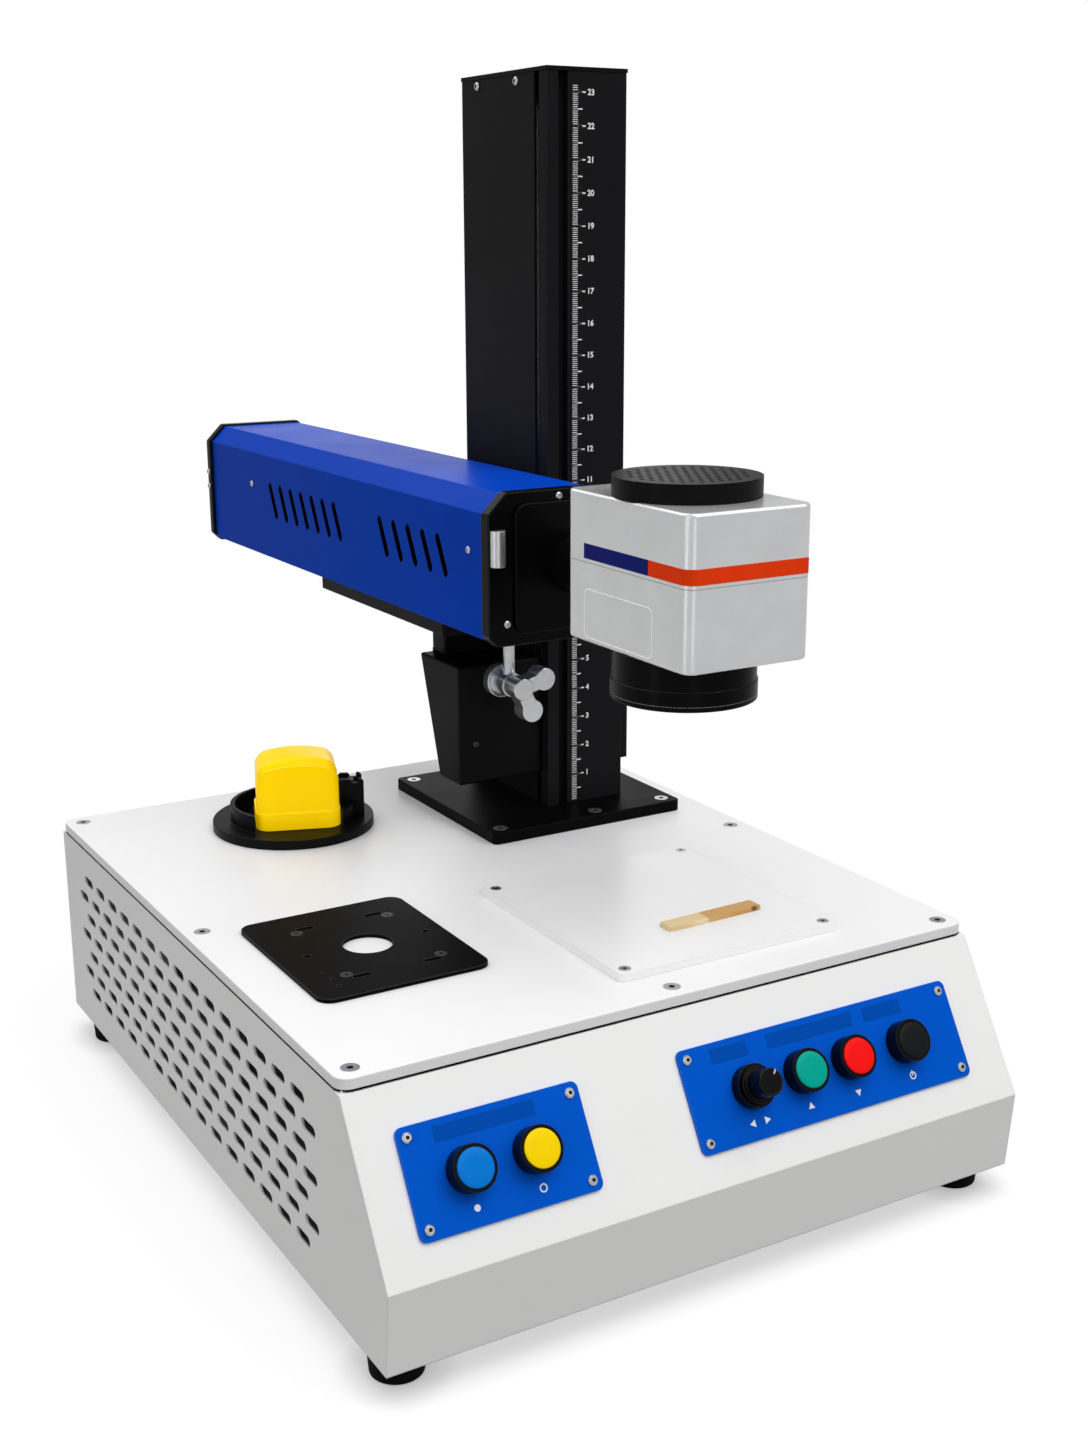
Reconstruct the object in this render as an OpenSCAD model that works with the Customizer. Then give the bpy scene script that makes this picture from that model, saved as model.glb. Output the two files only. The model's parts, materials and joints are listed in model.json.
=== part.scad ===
// Laser marking machine: a cabinet with a sloped control front, a motor-driven lift column, and a
// laser head whose galvo scanner looks down through its lens onto a work plate.
// X runs to the right, Y to the rear and Z up. Inside the modules Y is counted from the front edge of
// the deck, and place() moves the machine so that the origin is the bottom centre of its outline.

/* [Cabinet] */
// Width of the cabinet and of its deck
cabinet_w = 500; // [490:1:530]
// Depth of the deck from its front edge to its rear edge
deck_d = 576; // [560:1:620]
// Height of the cabinet above its feet, deck included
cabinet_h = 170; // [160:1:190]
// Thickness of the deck plate
deck_t = 8; // [6:0.5:10]
// Radius of the deck's corners
deck_corner_r = 10; // [4:0.5:20]
// Shadow gap between the deck and the cabinet walls
deck_gap = 1.5; // [0.5:0.1:3]
// Thickness of the cabinet's sheet metal
sheet_t = 2; // [1.5:0.1:3]
// Distance that the front's break line stands ahead of the deck's front edge
slope_run = 61; // [50:1:80]
// Height of the lower front, from the cabinet's bottom to the break line
fascia_h = 58; // [45:1:70]
// Distance that the lower front leans back at its bottom
fascia_setback = 5.5; // [2:0.5:10]
// Height of the rubber feet
foot_h = 20; // [12:1:30]
// Radius of the rubber feet
foot_r = 19; // [14:0.5:22]

/* [Side vents] */
// Number of vent rows on each side
vent_rows = 7; // [3:1:7]
// Number of vents in each odd row; even rows have one more
vent_cols = 15; // [8:1:15]
// Length of a vent slot
vent_l = 22; // [14:0.5:24]
// Height of a vent slot
vent_h = 8.5; // [5:0.5:10]

/* [Control front] */
// Height of both control panels, measured up the slope
panel_h = 69.5; // [60:0.5:75]
// Width of the marking panel
marking_panel_w = 128.5; // [120:0.5:135]
// Width of the axis panel
axis_panel_w = 232.5; // [225:0.5:240]
// Thickness of the control panels
panel_t = 2; // [1:0.1:3]
// Outer radius of a switch bezel
bezel_r = 14.75; // [13:0.25:16]
// Radius of a push-button cap
cap_r = 12.3; // [10:0.1:12.5]
// Travel of a push button
press_travel = 3; // [1:0.5:3.5]

/* [Plates] */
// Width of the work plate
work_plate_w = 189; // [170:1:200]
// Depth of the work plate
work_plate_d = 198; // [170:1:200]
// Thickness of the work plate
work_plate_t = 6; // [4:0.5:10]
// Width of the fixture plate
fixture_w = 128; // [124:1:134]
// Depth of the fixture plate
fixture_d = 153; // [140:1:160]
// Thickness of the fixture plate
fixture_t = 3; // [2:0.5:5]
// Radius of the fixture plate's centre hole
fixture_bore_r = 18; // [12:0.5:22]

/* [Socket] */
// Radius of the socket's round flange
flange_r = 68; // [64:0.5:72]
// Height of the socket cover above its tray
cover_h = 60; // [50:1:66]
// Width of the socket cover
cover_w = 70.5; // [62:0.5:74]
// Depth of the socket cover
cover_d = 56; // [50:0.5:58]

/* [Lift column] */
// Height of the column between its base plate and its cap
column_h = 600; // [560:1:700]
// Width of the column
column_w = 74; // [72:0.5:84]
// Depth of the column
column_d = 140; // [138:0.5:150]
// Wall thickness of the column profile
column_wall = 5; // [4:0.5:6]
// Side of the square base plate
base_plate_w = 185; // [182:0.5:200]
// Thickness of the base plate
base_plate_t = 10; // [8:0.5:16]
// Radius of the lead screw and of the guide rods
rod_r = 8; // [6:0.5:9]

/* [Laser head] */
// Width of the head's blue shell
head_w = 106.8; // [100:0.1:108]
// Height of the head's blue shell
head_h = 110.8; // [104:0.1:120]
// Length of the head's blue shell
head_l = 571; // [500:1:620]
// Width of the scanner housing
galvo_w = 100; // [96:0.5:110]
// Depth of the scanner housing
galvo_d = 149; // [140:0.5:152]
// Height of the scanner housing
galvo_h = 104; // [98:0.5:116]
// Outer radius of the lens barrel
lens_r = 50.9; // [48:0.1:54]
// Height of the lens barrel below the scanner housing
lens_h = 34; // [28:0.5:40]

/* [Hidden] */
// Overrun of a cutting shape past the face that it cuts
over = 1;
// Clearance between a fastener or a fixed insert and its hole
play = 0.15;
// Radial clearance of a shaft or a slider that runs in its bore
run_gap = 0.05;
// Gap between two faces that pass each other
pass_gap = 0.3;
$fn = 64;

// Levels
deck_top = foot_h + cabinet_h;
deck_bottom = deck_top - deck_t;
shell_top = deck_bottom - deck_gap;
break_z = foot_h + fascia_h;
slope_drop = shell_top - break_z;
slope_tilt = atan2(slope_run, slope_drop);
shell_profile = [[0, shell_top], [-slope_run, break_z], [-slope_run + fascia_setback, foot_h],
                 [deck_d, foot_h], [deck_d, shell_top]];

// Cabinet shell
lip_inset = 2.5;
top_flange_w = 26;
bottom_flange_w = 46;
vent_pitch_y = 31.6;
vent_pitch_z = 17;
vent_first_y = 66;
vent_low_z = break_z - 26.5;
foot_inset = 22;
foot_taper = 1.5;
foot_front_y = -24;
foot_rear_y = deck_d - 40;
pan_t = 2;
pan_margin = 4;
pan_top = foot_h + sheet_t + pan_t;
pan_front_y = -slope_run + fascia_setback + sheet_t + pan_margin;

// Countersunk deck screws: head radius, shank radius and length
deck_screw_r = 6;
deck_shank_r = 3;
deck_screw_l = 16;
deck_screw_inset = 14;
deck_side_y = 270;
deck_screw_places = concat(
    [for (sx = [-1, 1], y = [deck_screw_inset, deck_side_y, deck_d - deck_screw_inset])
        [sx * (cabinet_w / 2 - deck_screw_inset), y]],
    [for (y = [deck_screw_inset, deck_d - deck_screw_inset]) [0, y]]);
base_screw_inset = 12;

// Small countersunk plate screws
plate_screw_r = 4.2;
plate_shank_r = 2;
plate_screw_l = 9;

// Button-head screws
button_head_r = 3.4;
button_head_h = 2;
button_shank_r = 1.8;
button_screw_l = 8;
hex_r = 1.4;
hex_depth = 1.2;

// Control front: places along X of the panels and switches, all at one height on the slope
panel_s = 62;
panel_corner_r = 5;
panel_screw_inset = 7;
marking_panel_x = -158;
axis_panel_x = 99;
marking_switch_x = [-181.5, -135];
selector_x = 32;
axis_switch_x = [75, 116, 165];
bezel_h = 12;
selector_bezel_h = 8;
thread_r = 11;
thread_l = 30;
contact_w = 27;
contact_l = 20;
cap_t = 5.5;
cap_edge = 1.2;
cap_proud = 1.5;
cap_pocket_h = 8;
stem_r = 4;
stem_l = 16;
stem_bore_l = stem_l + cap_pocket_h - cap_t + cap_proud;
knob_r = 9.5;
knob_h = 18;
knob_foot_r = 12.5;
knob_foot_h = 2.5;
knob_mark_w = 1.6;
knob_mark_depth = 0.8;

// Work plate, fixture plate and locating bar
work_plate_x = 67.5;
work_plate_y = 134.3;
work_plate_r = 5;
work_screw_inset = 9;
fixture_x = -150.3;
fixture_y = 181;
fixture_r = 11;
fixture_bore_dx = 4.5;
fixture_screw_dx = 36;
fixture_screw_dy = 43;
fixture_tap_dx = 46;
fixture_tap_r = 2.6;
fixture_slot_l = 14;
fixture_slot_w = 5;
fixture_slot_dx = 27;
fixture_slot_dy = 49;
fixture_hole_r = 1.5;
fixture_hole_shares = [[0.375, 0.37], [-0.347, -0.216], [-0.334, -0.296], [-0.34, -0.374]];
bar_l = 82;
bar_w = 13.4;
bar_t = 3.5;
bar_x = 86.4;
bar_y = 90;
bar_turn = 1.8;

// Accessory socket with its hinged cover, in the socket's own turned axes
socket_x = -83;
socket_y = 463;
socket_turn = -19.4;
flange_t = 8;
collar_r = 53;
collar_t = 4;
collar_h = 14;
collar_cut_gap = 1;
insert_r = 19;
insert_bore_r = 15;
insert_top = 15;
insert_depth = 22;
insert_rim = 3;
contact_pin_r = 2.5;
contact_pin_h = 14;
contact_circle_r = 8;
contact_pins = 3;
cover_u = 2.6;
cover_v = -12.6;
cover_wall = 2.5;
cover_lip_h = 15;
cover_lip = 1.8;
cover_corner_r = 12;
cover_round_r = 9;
cover_fall = 1;
hinge_u = 48.6;
hinge_z = 32;
knuckle_r = 6;
knuckle_w = 14;
knuckle_bore_r = 2.5;
ear_t = 4;
ear_in = 9.5;
ear_out = 11;
ear_rise = 8.5;
ear_chamfer = 2;
ear_notch_x = 1.5;
ear_notch_w = 5;
ear_notch_d = 3.5;
ear_foot_w = 20;
ear_foot_h = 9;

// Column, its cover, cap and side rail
column_x = 149.6;
column_front = 366;
base_plate_x = 129.9;
base_plate_front = 325.5;
base_plate_r = 5;
post_w = 10.3;
post_d = 12.5;
channel_w = 9;
channel_floor_t = 4;
side_slot_w = 8;
cover_t = 2;
cap_plate_t = 3;
cap_over = 0.8;
cap_block_h = 20;
cap_block_inset = 1.5;
cover_screw_z = 5.5;
cover_screw_y_shares = [0.23, 0.77];
rail_l = 200;
rail_w = 18;
rail_t = 7;
rail_off = 3;
rail_z = 31;
rail_y = 6;
rail_boss_r = 4;
rail_boss_share = 0.15;
screw_y = 78;
rod_pitch = 80;
rod_sink = 8;
rod_top = 15;

column_x0 = column_x - column_w / 2;
column_x1 = column_x + column_w / 2;
column_rear = column_front + column_d;
base_plate_top = deck_top + base_plate_t;
column_top = base_plate_top + column_h;
channel_x1 = column_x0 + post_w + channel_w;
cover_front = column_front + post_d + side_slot_w;
base_plate_y = base_plate_front + base_plate_w / 2;
lead_y = column_front + screw_y;
base_screw_places = concat(
    [for (sx = [-1, 1], sy = [-1, 1])
        [base_plate_x + sx * (base_plate_w / 2 - base_screw_inset),
         base_plate_y + sy * (base_plate_w / 2 - base_screw_inset)]],
    [[base_plate_x + base_screw_inset, base_plate_front + base_screw_inset]]);

// Lift drive
motor_w = 57;
motor_l = 60;
motor_r = 5;
bell_r = 25;
bell_bore_r = 15;
bell_h = 35;
bell_flange_r = 32;
bell_flange_t = 5;
coupling_r = 12.5;
coupling_gap = 3;
coupling_groove = 0.8;
motor_shaft_r = 4;
motor_shaft_l = 20;
journal_r = 5;
journal_l = 13;
shaft_hole_r = 14;
carriage_h = 100;
carriage_z = 29;
bushing_r = 14;
bushing_l = 30;
nut_r = 14;
nut_l = 40;
nut_flange_r = 20;
nut_flange_t = 8;
carriage_w = 56;
carriage_rear_gap = 1;

// Carriage bracket, arm plate and clamp
bracket_x0 = 31.5;
bracket_front = 375;
bracket_gap = 1.6;
bracket_top_d = 70;
bracket_bottom_d = 37;
tongue_t = 5;
tongue_in = 54;
tongue_gap = 1.5;
riser_x0 = 45;
riser_front = 424;
riser_d = 24;
riser_h = 36.8;
arm_w = 99;
arm_l = 241;
arm_t = 12;
arm_front = 344;
arm_r = 3;
clamp_x = 68.5;
clamp_z = 88.5;
clamp_disc_r = 14;
clamp_disc_t = 9;
clamp_barrel_r = 10;
clamp_barrel_l = 18;
post_r = 5;
post_y = 355;
stud_r = 3;
stud_l = 2;
wing_hub_r = 9;
wing_hub_l = 17.5;
wing_r = 9.5;
wing_reach = 22;
wing_t = 16;
wing_rise = 1.5;
wing_arm_w = 13;
wing_degs = [15, -64];

// Levels of the carriage, its bracket and the head
carriage_low = base_plate_top + carriage_z;
carriage_high = carriage_low + carriage_h;
bracket_top = carriage_high + 2;
arm_low = bracket_top + riser_h - 1;
head_low = arm_low + arm_t;
tongue_y0 = column_front + post_d + tongue_gap;
carriage_front = tongue_y0 + tongue_t;

// Head
head_x = 52.5;
head_front = 268;
head_sheet = 2;
head_chamfer = 14.5;
plate_over = 3;
plate_low = 4.3;
plate_high = 2;
plate_chamfer = 16;
plate_foot_chamfer = 8;
front_plate_t = 12;
rear_plate_t = 10;
cover_panel_w = 70;
cover_panel_h = 99.5;
cover_panel_t = 3.5;
cover_panel_r = 10;
cover_panel_low = 4.7;
slot_l = 36;
slot_w = 7.5;
slot_tilt = 63;
slot_z = 55;
slot_rows = [[7, 24.2, 342], [5, 26.4, 123]];
side_screw_r = 2.9;
side_screw_h = 1.8;
side_shank_r = 1.5;
side_shank_l = 5;
side_screw_ys = [24.4, 466];
side_screw_z = 66;
rear_screw_zs = [51.5, 66];
front_screws = [[-40.9, 13.2], [40.9, 13.2], [4.5, 107.5]];
bracket_screw_x = 47;
bracket_screw_z = 34.7;
latch_r = 6.3;
latch_l = 27.5;
latch_x = -48.8;
latch_z = 58;
beam_dx = 18;
beam_z = 55.2;
tube_r = 22;
tube_bore_r = 12;
tube_flange_r = 30;
tube_flange_t = 6;
beam_hole_r = 15;
module_w = 65;
module_l = 400;
module_h = 69;
module_y = 72;
nozzle_r = 8;
nozzle_l = 70;

head_rear = head_front + head_l;
beam_x = head_x + beam_dx;
beam_level = head_low + beam_z;

// Scanner
galvo_wall = 6;
galvo_r = 9;
galvo_low = head_low + 25.4;
galvo_rear = 156;
galvo_front = galvo_rear - galvo_d;
galvo_y = galvo_front + galvo_d / 2;
galvo_high = galvo_low + galvo_h;
vent_cap_h = 13.7;
vent_cap_wall = 3;
vent_hole_r = 1.9;
vent_hole_pitch = 7.4;
vent_field_r = 43;
lens_neck_r = 40;
lens_bore_r = 34;
lens_seat_r = 37;
lens_seat_h = 8;
lens_glass_t = 6;
lens_ring_h = 13.6;
lens_step = 0.8;
scan_motor_r = 9.5;
scan_gap = 12;
scan_shaft_r = 2;
mirror_t = 2;
mirror_x_size = [16, 12];
mirror_y_size = [22, 13];
mirror_turn = 45;
mirror_x_floor = beam_level - mirror_x_size[1] / 2;

// Electronics, fan and mains inlet
supply_size = [110, 180, 50];
supply_side_gap = 45;
supply_fan_gap = 59;
board_size = [130, 170, 1.6];
board_x = 20;
board_y = 200;
board_off = 8;
board_post_r = 3;
board_inset = 8;
chip_size = [30, 30, 4];
sink_size = [40, 60, 25];
fan_w = 80;
fan_t = 25;
fan_side = 150;
fan_z = 86;
fan_bore_r = 37.5;
fan_hub_r = 14;
fan_shaft_r = 2;
fan_plate_t = 3;
fan_spoke_w = 4;
blade_count = 7;
blade_t = 1.6;
blade_reach = 35.5;
blade_h = 14;
blade_deg = 35;
fan_hole_r = 2.8;
fan_hole_pitch = 7.5;
fan_field_r = 33;
inlet_side = 130;
inlet_z = 46;
inlet_flange = [50, 28, 3];
inlet_body = [44, 23, 24];
inlet_recess = [27, 17, 17];
inlet_pin = [2, 4, 12];
inlet_pin_pitch = 7;

// Places that follow the cabinet's walls
fan_x = fan_side - cabinet_w / 2;
inlet_x = cabinet_w / 2 - inlet_side;
supply_x0 = supply_side_gap - cabinet_w / 2;
fan_face = deck_d - sheet_t;
supply_y1 = fan_face - fan_t - supply_fan_gap;

// Bottom centre of the machine's outline
outline_mid_y = (head_rear + rear_plate_t - slope_run) / 2;

// Moves the machine so that the origin is the bottom centre of its outline.
module place() {
    translate([0, -outline_mid_y, 0]) children();
}

// Outward normal of the edge from p to q of an outline that runs counter-clockwise.
function edge_normal(p, q) = [q[1] - p[1], p[0] - q[0]] / norm(q - p);

// Corner b of an outline, drawn in by t between its neighbours a and c.
function inset_corner(a, b, c, t) =
    let (n1 = edge_normal(a, b), n2 = edge_normal(b, c)) b - t * (n1 + n2) / (1 + n1 * n2);

// The whole outline drawn in by t.
function inset_outline(pts, t) =
    [for (i = [0 : len(pts) - 1])
        inset_corner(pts[(i + len(pts) - 1) % len(pts)], pts[i], pts[(i + 1) % len(pts)], t)];

// Flat rectangle with round corners, centred.
module rounded_rect(w, d, r) {
    square([w - 2 * r, d], center = true);
    square([w, d - 2 * r], center = true);
    for (sx = [-1, 1], sy = [-1, 1]) {
        translate([sx * (w / 2 - r), sy * (d / 2 - r)]) circle(r);
    }
}

// Plate with round corners, centred in plan, standing on z = 0.
module slab(w, d, t, r) {
    linear_extrude(t) rounded_rect(w, d, r);
}

// Flat slot with round ends, centred, lying along X.
module slot_2d(l, w) {
    square([l - w, w], center = true);
    for (s = [-1, 1]) {
        translate([s * (l - w) / 2, 0]) circle(d = w);
    }
}

// Extrudes an outline drawn in Y and Z along X, from x0 for a length w.
module extrude_x(x0, w) {
    translate([x0, 0, 0]) rotate([90, 0, 90]) linear_extrude(w) children();
}

// Extrudes an outline drawn in X and Z towards the front, from y for a length l.
module extrude_front(y, l) {
    translate([0, y, 0]) rotate([90, 0, 0]) linear_extrude(l) children();
}

// A place on the sloped front: x along the front, s down the slope, its own Z standing off it.
module on_slope(x, s) {
    translate([x, -s * sin(slope_tilt), shell_top - s * cos(slope_tilt)])
        rotate([90 - slope_tilt, 0, 0]) children();
}

// The socket's own axes on the deck.
module at_socket() {
    translate([socket_x, socket_y, deck_top]) rotate([0, 0, socket_turn]) children();
}

// The axes of the socket's insert, under the middle of its cover.
module at_insert() {
    at_socket() translate([cover_u, cover_v, 0]) children();
}

// Countersunk screw or, with a gap, its hole; the top of the head is at z = 0.
module countersunk(head_r, shank_r, l, gap) {
    translate([0, 0, -(head_r - shank_r)])
        cylinder(h = head_r - shank_r, r1 = shank_r + gap, r2 = head_r + gap);
    translate([0, 0, -l]) cylinder(h = l, r = shank_r + gap);
}

module countersunk_screw(head_r, shank_r, l) {
    difference() {
        countersunk(head_r, shank_r, l, 0);
        translate([0, 0, -hex_depth]) cylinder(h = hex_depth + over, r = shank_r * 0.8, $fn = 6);
    }
}

// Round-headed screw that stands on z = 0 with its shank below.
module headed_screw(head_r, head_h, shank_r, l) {
    difference() {
        union() {
            cylinder(h = head_h / 2, r = head_r);
            translate([0, 0, head_h / 2]) cylinder(h = head_h / 2, r1 = head_r, r2 = head_r * 0.7);
        }
        translate([0, 0, head_h - hex_depth]) cylinder(h = hex_depth + over, r = hex_r, $fn = 6);
    }
    translate([0, 0, -l]) cylinder(h = l, r = shank_r);
}

// Round field of holes on a triangular grid, drawn flat.
module hole_field(field_r, pitch, r) {
    n = ceil(field_r / pitch) + 1;
    for (i = [-n : n], j = [-n : n]) {
        p = [(i + (abs(j) % 2) / 2) * pitch, j * pitch * sin(60)];
        if (norm(p) < field_r) {
            translate(p) circle(r, $fn = 16);
        }
    }
}

// Staggered rows of side vents, drawn in Y and Z.
module vent_field() {
    for (row = [0 : vent_rows - 1]) {
        odd = row % 2;
        for (col = [0 : vent_cols - 1 + odd]) {
            translate([vent_first_y + (col - odd / 2) * vent_pitch_y, vent_low_z + row * vent_pitch_z])
                slot_2d(vent_l, vent_h);
        }
    }
}

// Screw places of a panel or plate of size w by d, at an inset from its edges.
function corner_places(w, d, inset) =
    [for (sx = [-1, 1], sy = [-1, 1]) [sx * (w / 2 - inset), sy * (d / 2 - inset)]];

switch_places = concat(marking_switch_x, [selector_x], axis_switch_x);

module cabinet_shell() {
    color("#ecebe8") place() difference() {
        union() {
            extrude_x(-cabinet_w / 2, cabinet_w) polygon(shell_profile);
            translate([-cabinet_w / 2 + lip_inset, lip_inset, shell_top - sheet_t])
                cube([cabinet_w - 2 * lip_inset, deck_d - 2 * lip_inset, sheet_t + deck_gap]);
        }
        extrude_x(-cabinet_w / 2 + sheet_t, cabinet_w - 2 * sheet_t)
            polygon(inset_outline(shell_profile, sheet_t));
        translate([-cabinet_w / 2 + top_flange_w, top_flange_w, shell_top - 2 * sheet_t])
            cube([cabinet_w - 2 * top_flange_w, deck_d - 2 * top_flange_w, 3 * sheet_t + deck_gap]);
        translate([-cabinet_w / 2 + bottom_flange_w, pan_front_y + bottom_flange_w, foot_h - over])
            cube([cabinet_w - 2 * bottom_flange_w, deck_d - pan_front_y - 2 * bottom_flange_w,
                  sheet_t + 2 * over]);
        extrude_x(-cabinet_w / 2 - over, cabinet_w + 2 * over) vent_field();
        for (x = switch_places) {
            on_slope(x, panel_s) translate([0, 0, -2 * sheet_t])
                cylinder(h = 3 * sheet_t, r = thread_r + 2 * play);
        }
        for (p = panel_screw_places()) {
            on_slope(p[0], p[1]) translate([0, 0, -2 * sheet_t])
                cylinder(h = 3 * sheet_t, r = button_shank_r + play);
        }
        for (p = deck_screw_places) {
            translate([p[0], p[1], shell_top - 2 * sheet_t])
                cylinder(h = 2 * sheet_t + deck_gap + over, r = deck_shank_r + play);
        }
        extrude_front(deck_d + over, sheet_t + 2 * over) {
            translate([fan_x, fan_z]) hole_field(fan_field_r, fan_hole_pitch, fan_hole_r);
            translate([inlet_x, inlet_z])
                square([inlet_body[0] + 2 * play, inlet_body[1] + 2 * play], center = true);
        }
    }
}

// Centres of the panel screws as [x, s].
function panel_screw_places() = concat(
    [for (p = corner_places(marking_panel_w, panel_h, panel_screw_inset))
        [marking_panel_x + p[0], panel_s + p[1]]],
    [for (p = corner_places(axis_panel_w, panel_h, panel_screw_inset))
        [axis_panel_x + p[0], panel_s + p[1]]]);

module bottom_pan() {
    pan_w = cabinet_w - 2 * (sheet_t + pan_margin);
    pan_d = deck_d - sheet_t - pan_margin - pan_front_y;
    color("#9c9fa1") place() translate([0, pan_front_y + pan_d / 2, foot_h + sheet_t])
        slab(pan_w, pan_d, pan_t, pan_margin);
}

module rubber_feet() {
    color("#1a1a1a") place() for (sx = [-1, 1], y = [foot_front_y, foot_rear_y]) {
        translate([sx * (cabinet_w / 2 - foot_inset), y, 0])
            cylinder(h = foot_h, r1 = foot_r - foot_taper, r2 = foot_r);
    }
}

module top_plate() {
    color("#f2f2f0") place() difference() {
        translate([0, deck_d / 2, deck_bottom]) slab(cabinet_w, deck_d, deck_t, deck_corner_r);
        for (p = deck_screw_places) {
            translate([p[0], p[1], deck_top])
                countersunk(deck_screw_r, deck_shank_r, deck_screw_l, play);
        }
        for (p = base_screw_places) {
            translate([p[0], p[1], deck_bottom - over])
                cylinder(h = deck_t + 2 * over, r = deck_shank_r + play);
        }
        for (p = plate_screw_places) {
            translate([p[0], p[1], deck_bottom - over])
                cylinder(h = deck_t + 2 * over, r = plate_shank_r + play);
        }
        translate([column_x, lead_y, deck_bottom - over])
            cylinder(h = deck_t + 2 * over, r = shaft_hole_r);
        at_insert() translate([0, 0, -deck_t - over])
            cylinder(h = deck_t + 2 * over, r = insert_r + play);
    }
}

module deck_screws() {
    color("#c9ccce") place() {
        for (p = deck_screw_places) {
            translate([p[0], p[1], deck_top])
                countersunk_screw(deck_screw_r, deck_shank_r, deck_screw_l);
        }
        for (p = base_screw_places) {
            translate([p[0], p[1], base_plate_top])
                countersunk_screw(deck_screw_r, deck_shank_r, deck_screw_l);
        }
    }
}

// A control panel of width w centred at x, drilled for its screws and for the switches in xs.
module control_panel(x, w, xs) {
    difference() {
        on_slope(x, panel_s) slab(w, panel_h, panel_t, panel_corner_r);
        for (p = panel_screw_places()) {
            on_slope(p[0], p[1]) translate([0, 0, -over])
                cylinder(h = panel_t + 2 * over, r = button_shank_r + play);
        }
        for (sx = xs) {
            on_slope(sx, panel_s) translate([0, 0, -over])
                cylinder(h = panel_t + 2 * over, r = thread_r + play);
        }
    }
}

module marking_panel() {
    color("#0a57c2") place() control_panel(marking_panel_x, marking_panel_w, marking_switch_x);
}

module axis_panel() {
    color("#0a57c2") place()
        control_panel(axis_panel_x, axis_panel_w, concat([selector_x], axis_switch_x));
}

// Places of the column cover's two screws as [y, z].
cover_screw_places = [for (share = cover_screw_y_shares)
    [cover_front + share * (column_rear - cover_front), column_top - cover_screw_z]];

module button_head_screws() {
    color("#cfd2d4") place() {
        for (p = panel_screw_places()) {
            on_slope(p[0], p[1]) translate([0, 0, panel_t])
                headed_screw(button_head_r, button_head_h, button_shank_r, button_screw_l);
        }
        for (p = cover_screw_places) {
            translate([column_x0, p[0], p[1]]) rotate([0, -90, 0])
                headed_screw(button_head_r, button_head_h, button_shank_r, button_screw_l);
        }
    }
}

// One switch: bezel on the panel, threaded neck through it and contact block behind it.
module switch_body(h, pocket) {
    difference() {
        union() {
            translate([0, 0, panel_t]) cylinder(h = h, r = bezel_r);
            translate([0, 0, panel_t - thread_l]) cylinder(h = thread_l, r = thread_r);
            translate([0, 0, panel_t - thread_l - contact_l])
                slab(contact_w, contact_w, contact_l, over);
        }
        if (pocket) {
            translate([0, 0, panel_t + h - cap_pocket_h])
                cylinder(h = cap_pocket_h + over, r = cap_r + 2 * run_gap);
        }
        translate([0, 0, panel_t + h - cap_pocket_h - stem_bore_l])
            cylinder(h = stem_bore_l + cap_pocket_h + over, r = stem_r + 2 * run_gap);
    }
}

module switch_bodies() {
    color("#161718") place() {
        for (x = concat(marking_switch_x, axis_switch_x)) {
            on_slope(x, panel_s) switch_body(bezel_h, true);
        }
        on_slope(selector_x, panel_s) switch_body(selector_bezel_h, false);
    }
}

// A push button: a low cap that fills the bezel, on a stem that runs in the switch.
module push_button(x) {
    cap_low = panel_t + bezel_h + cap_proud - cap_t;
    on_slope(x, panel_s) {
        translate([0, 0, cap_low]) cylinder(h = cap_t - cap_edge, r = cap_r);
        translate([0, 0, cap_low + cap_t - cap_edge])
            cylinder(h = cap_edge, r1 = cap_r, r2 = cap_r - cap_edge);
        translate([0, 0, cap_low - stem_l]) cylinder(h = stem_l, r = stem_r);
    }
}

module laser_button() {
    color("#1179c9") place() push_button(marking_switch_x[0]);
}

module test_button() {
    color("#f6d500") place() push_button(marking_switch_x[1]);
}

module up_button() {
    color("#0f9c8b") place() push_button(axis_switch_x[0]);
}

module down_button() {
    color("#ef2222") place() push_button(axis_switch_x[1]);
}

module power_button() {
    color("#202124") place() push_button(axis_switch_x[2]);
}

module selector_knob() {
    foot_low = panel_t + selector_bezel_h + pass_gap;
    color("#1c1d1f") place() on_slope(selector_x, panel_s) {
        translate([0, 0, foot_low]) cylinder(h = knob_foot_h, r = knob_foot_r);
        difference() {
            translate([0, 0, foot_low]) cylinder(h = knob_h, r = knob_r);
            translate([-knob_mark_w / 2, 0, foot_low + knob_h - knob_mark_depth])
                cube([knob_mark_w, knob_r + over, knob_mark_depth + over]);
        }
        translate([0, 0, foot_low - stem_l]) cylinder(h = stem_l, r = stem_r);
    }
}

fixture_screw_places = [for (sx = [-1, 1], sy = [-1, 1])
    [fixture_x + fixture_bore_dx + sx * fixture_screw_dx, fixture_y + sy * fixture_screw_dy]];
work_screw_places = [for (p = corner_places(work_plate_w, work_plate_d, work_screw_inset))
    [work_plate_x + p[0], work_plate_y + p[1]]];
plate_screw_places = concat(fixture_screw_places, work_screw_places);

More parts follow.
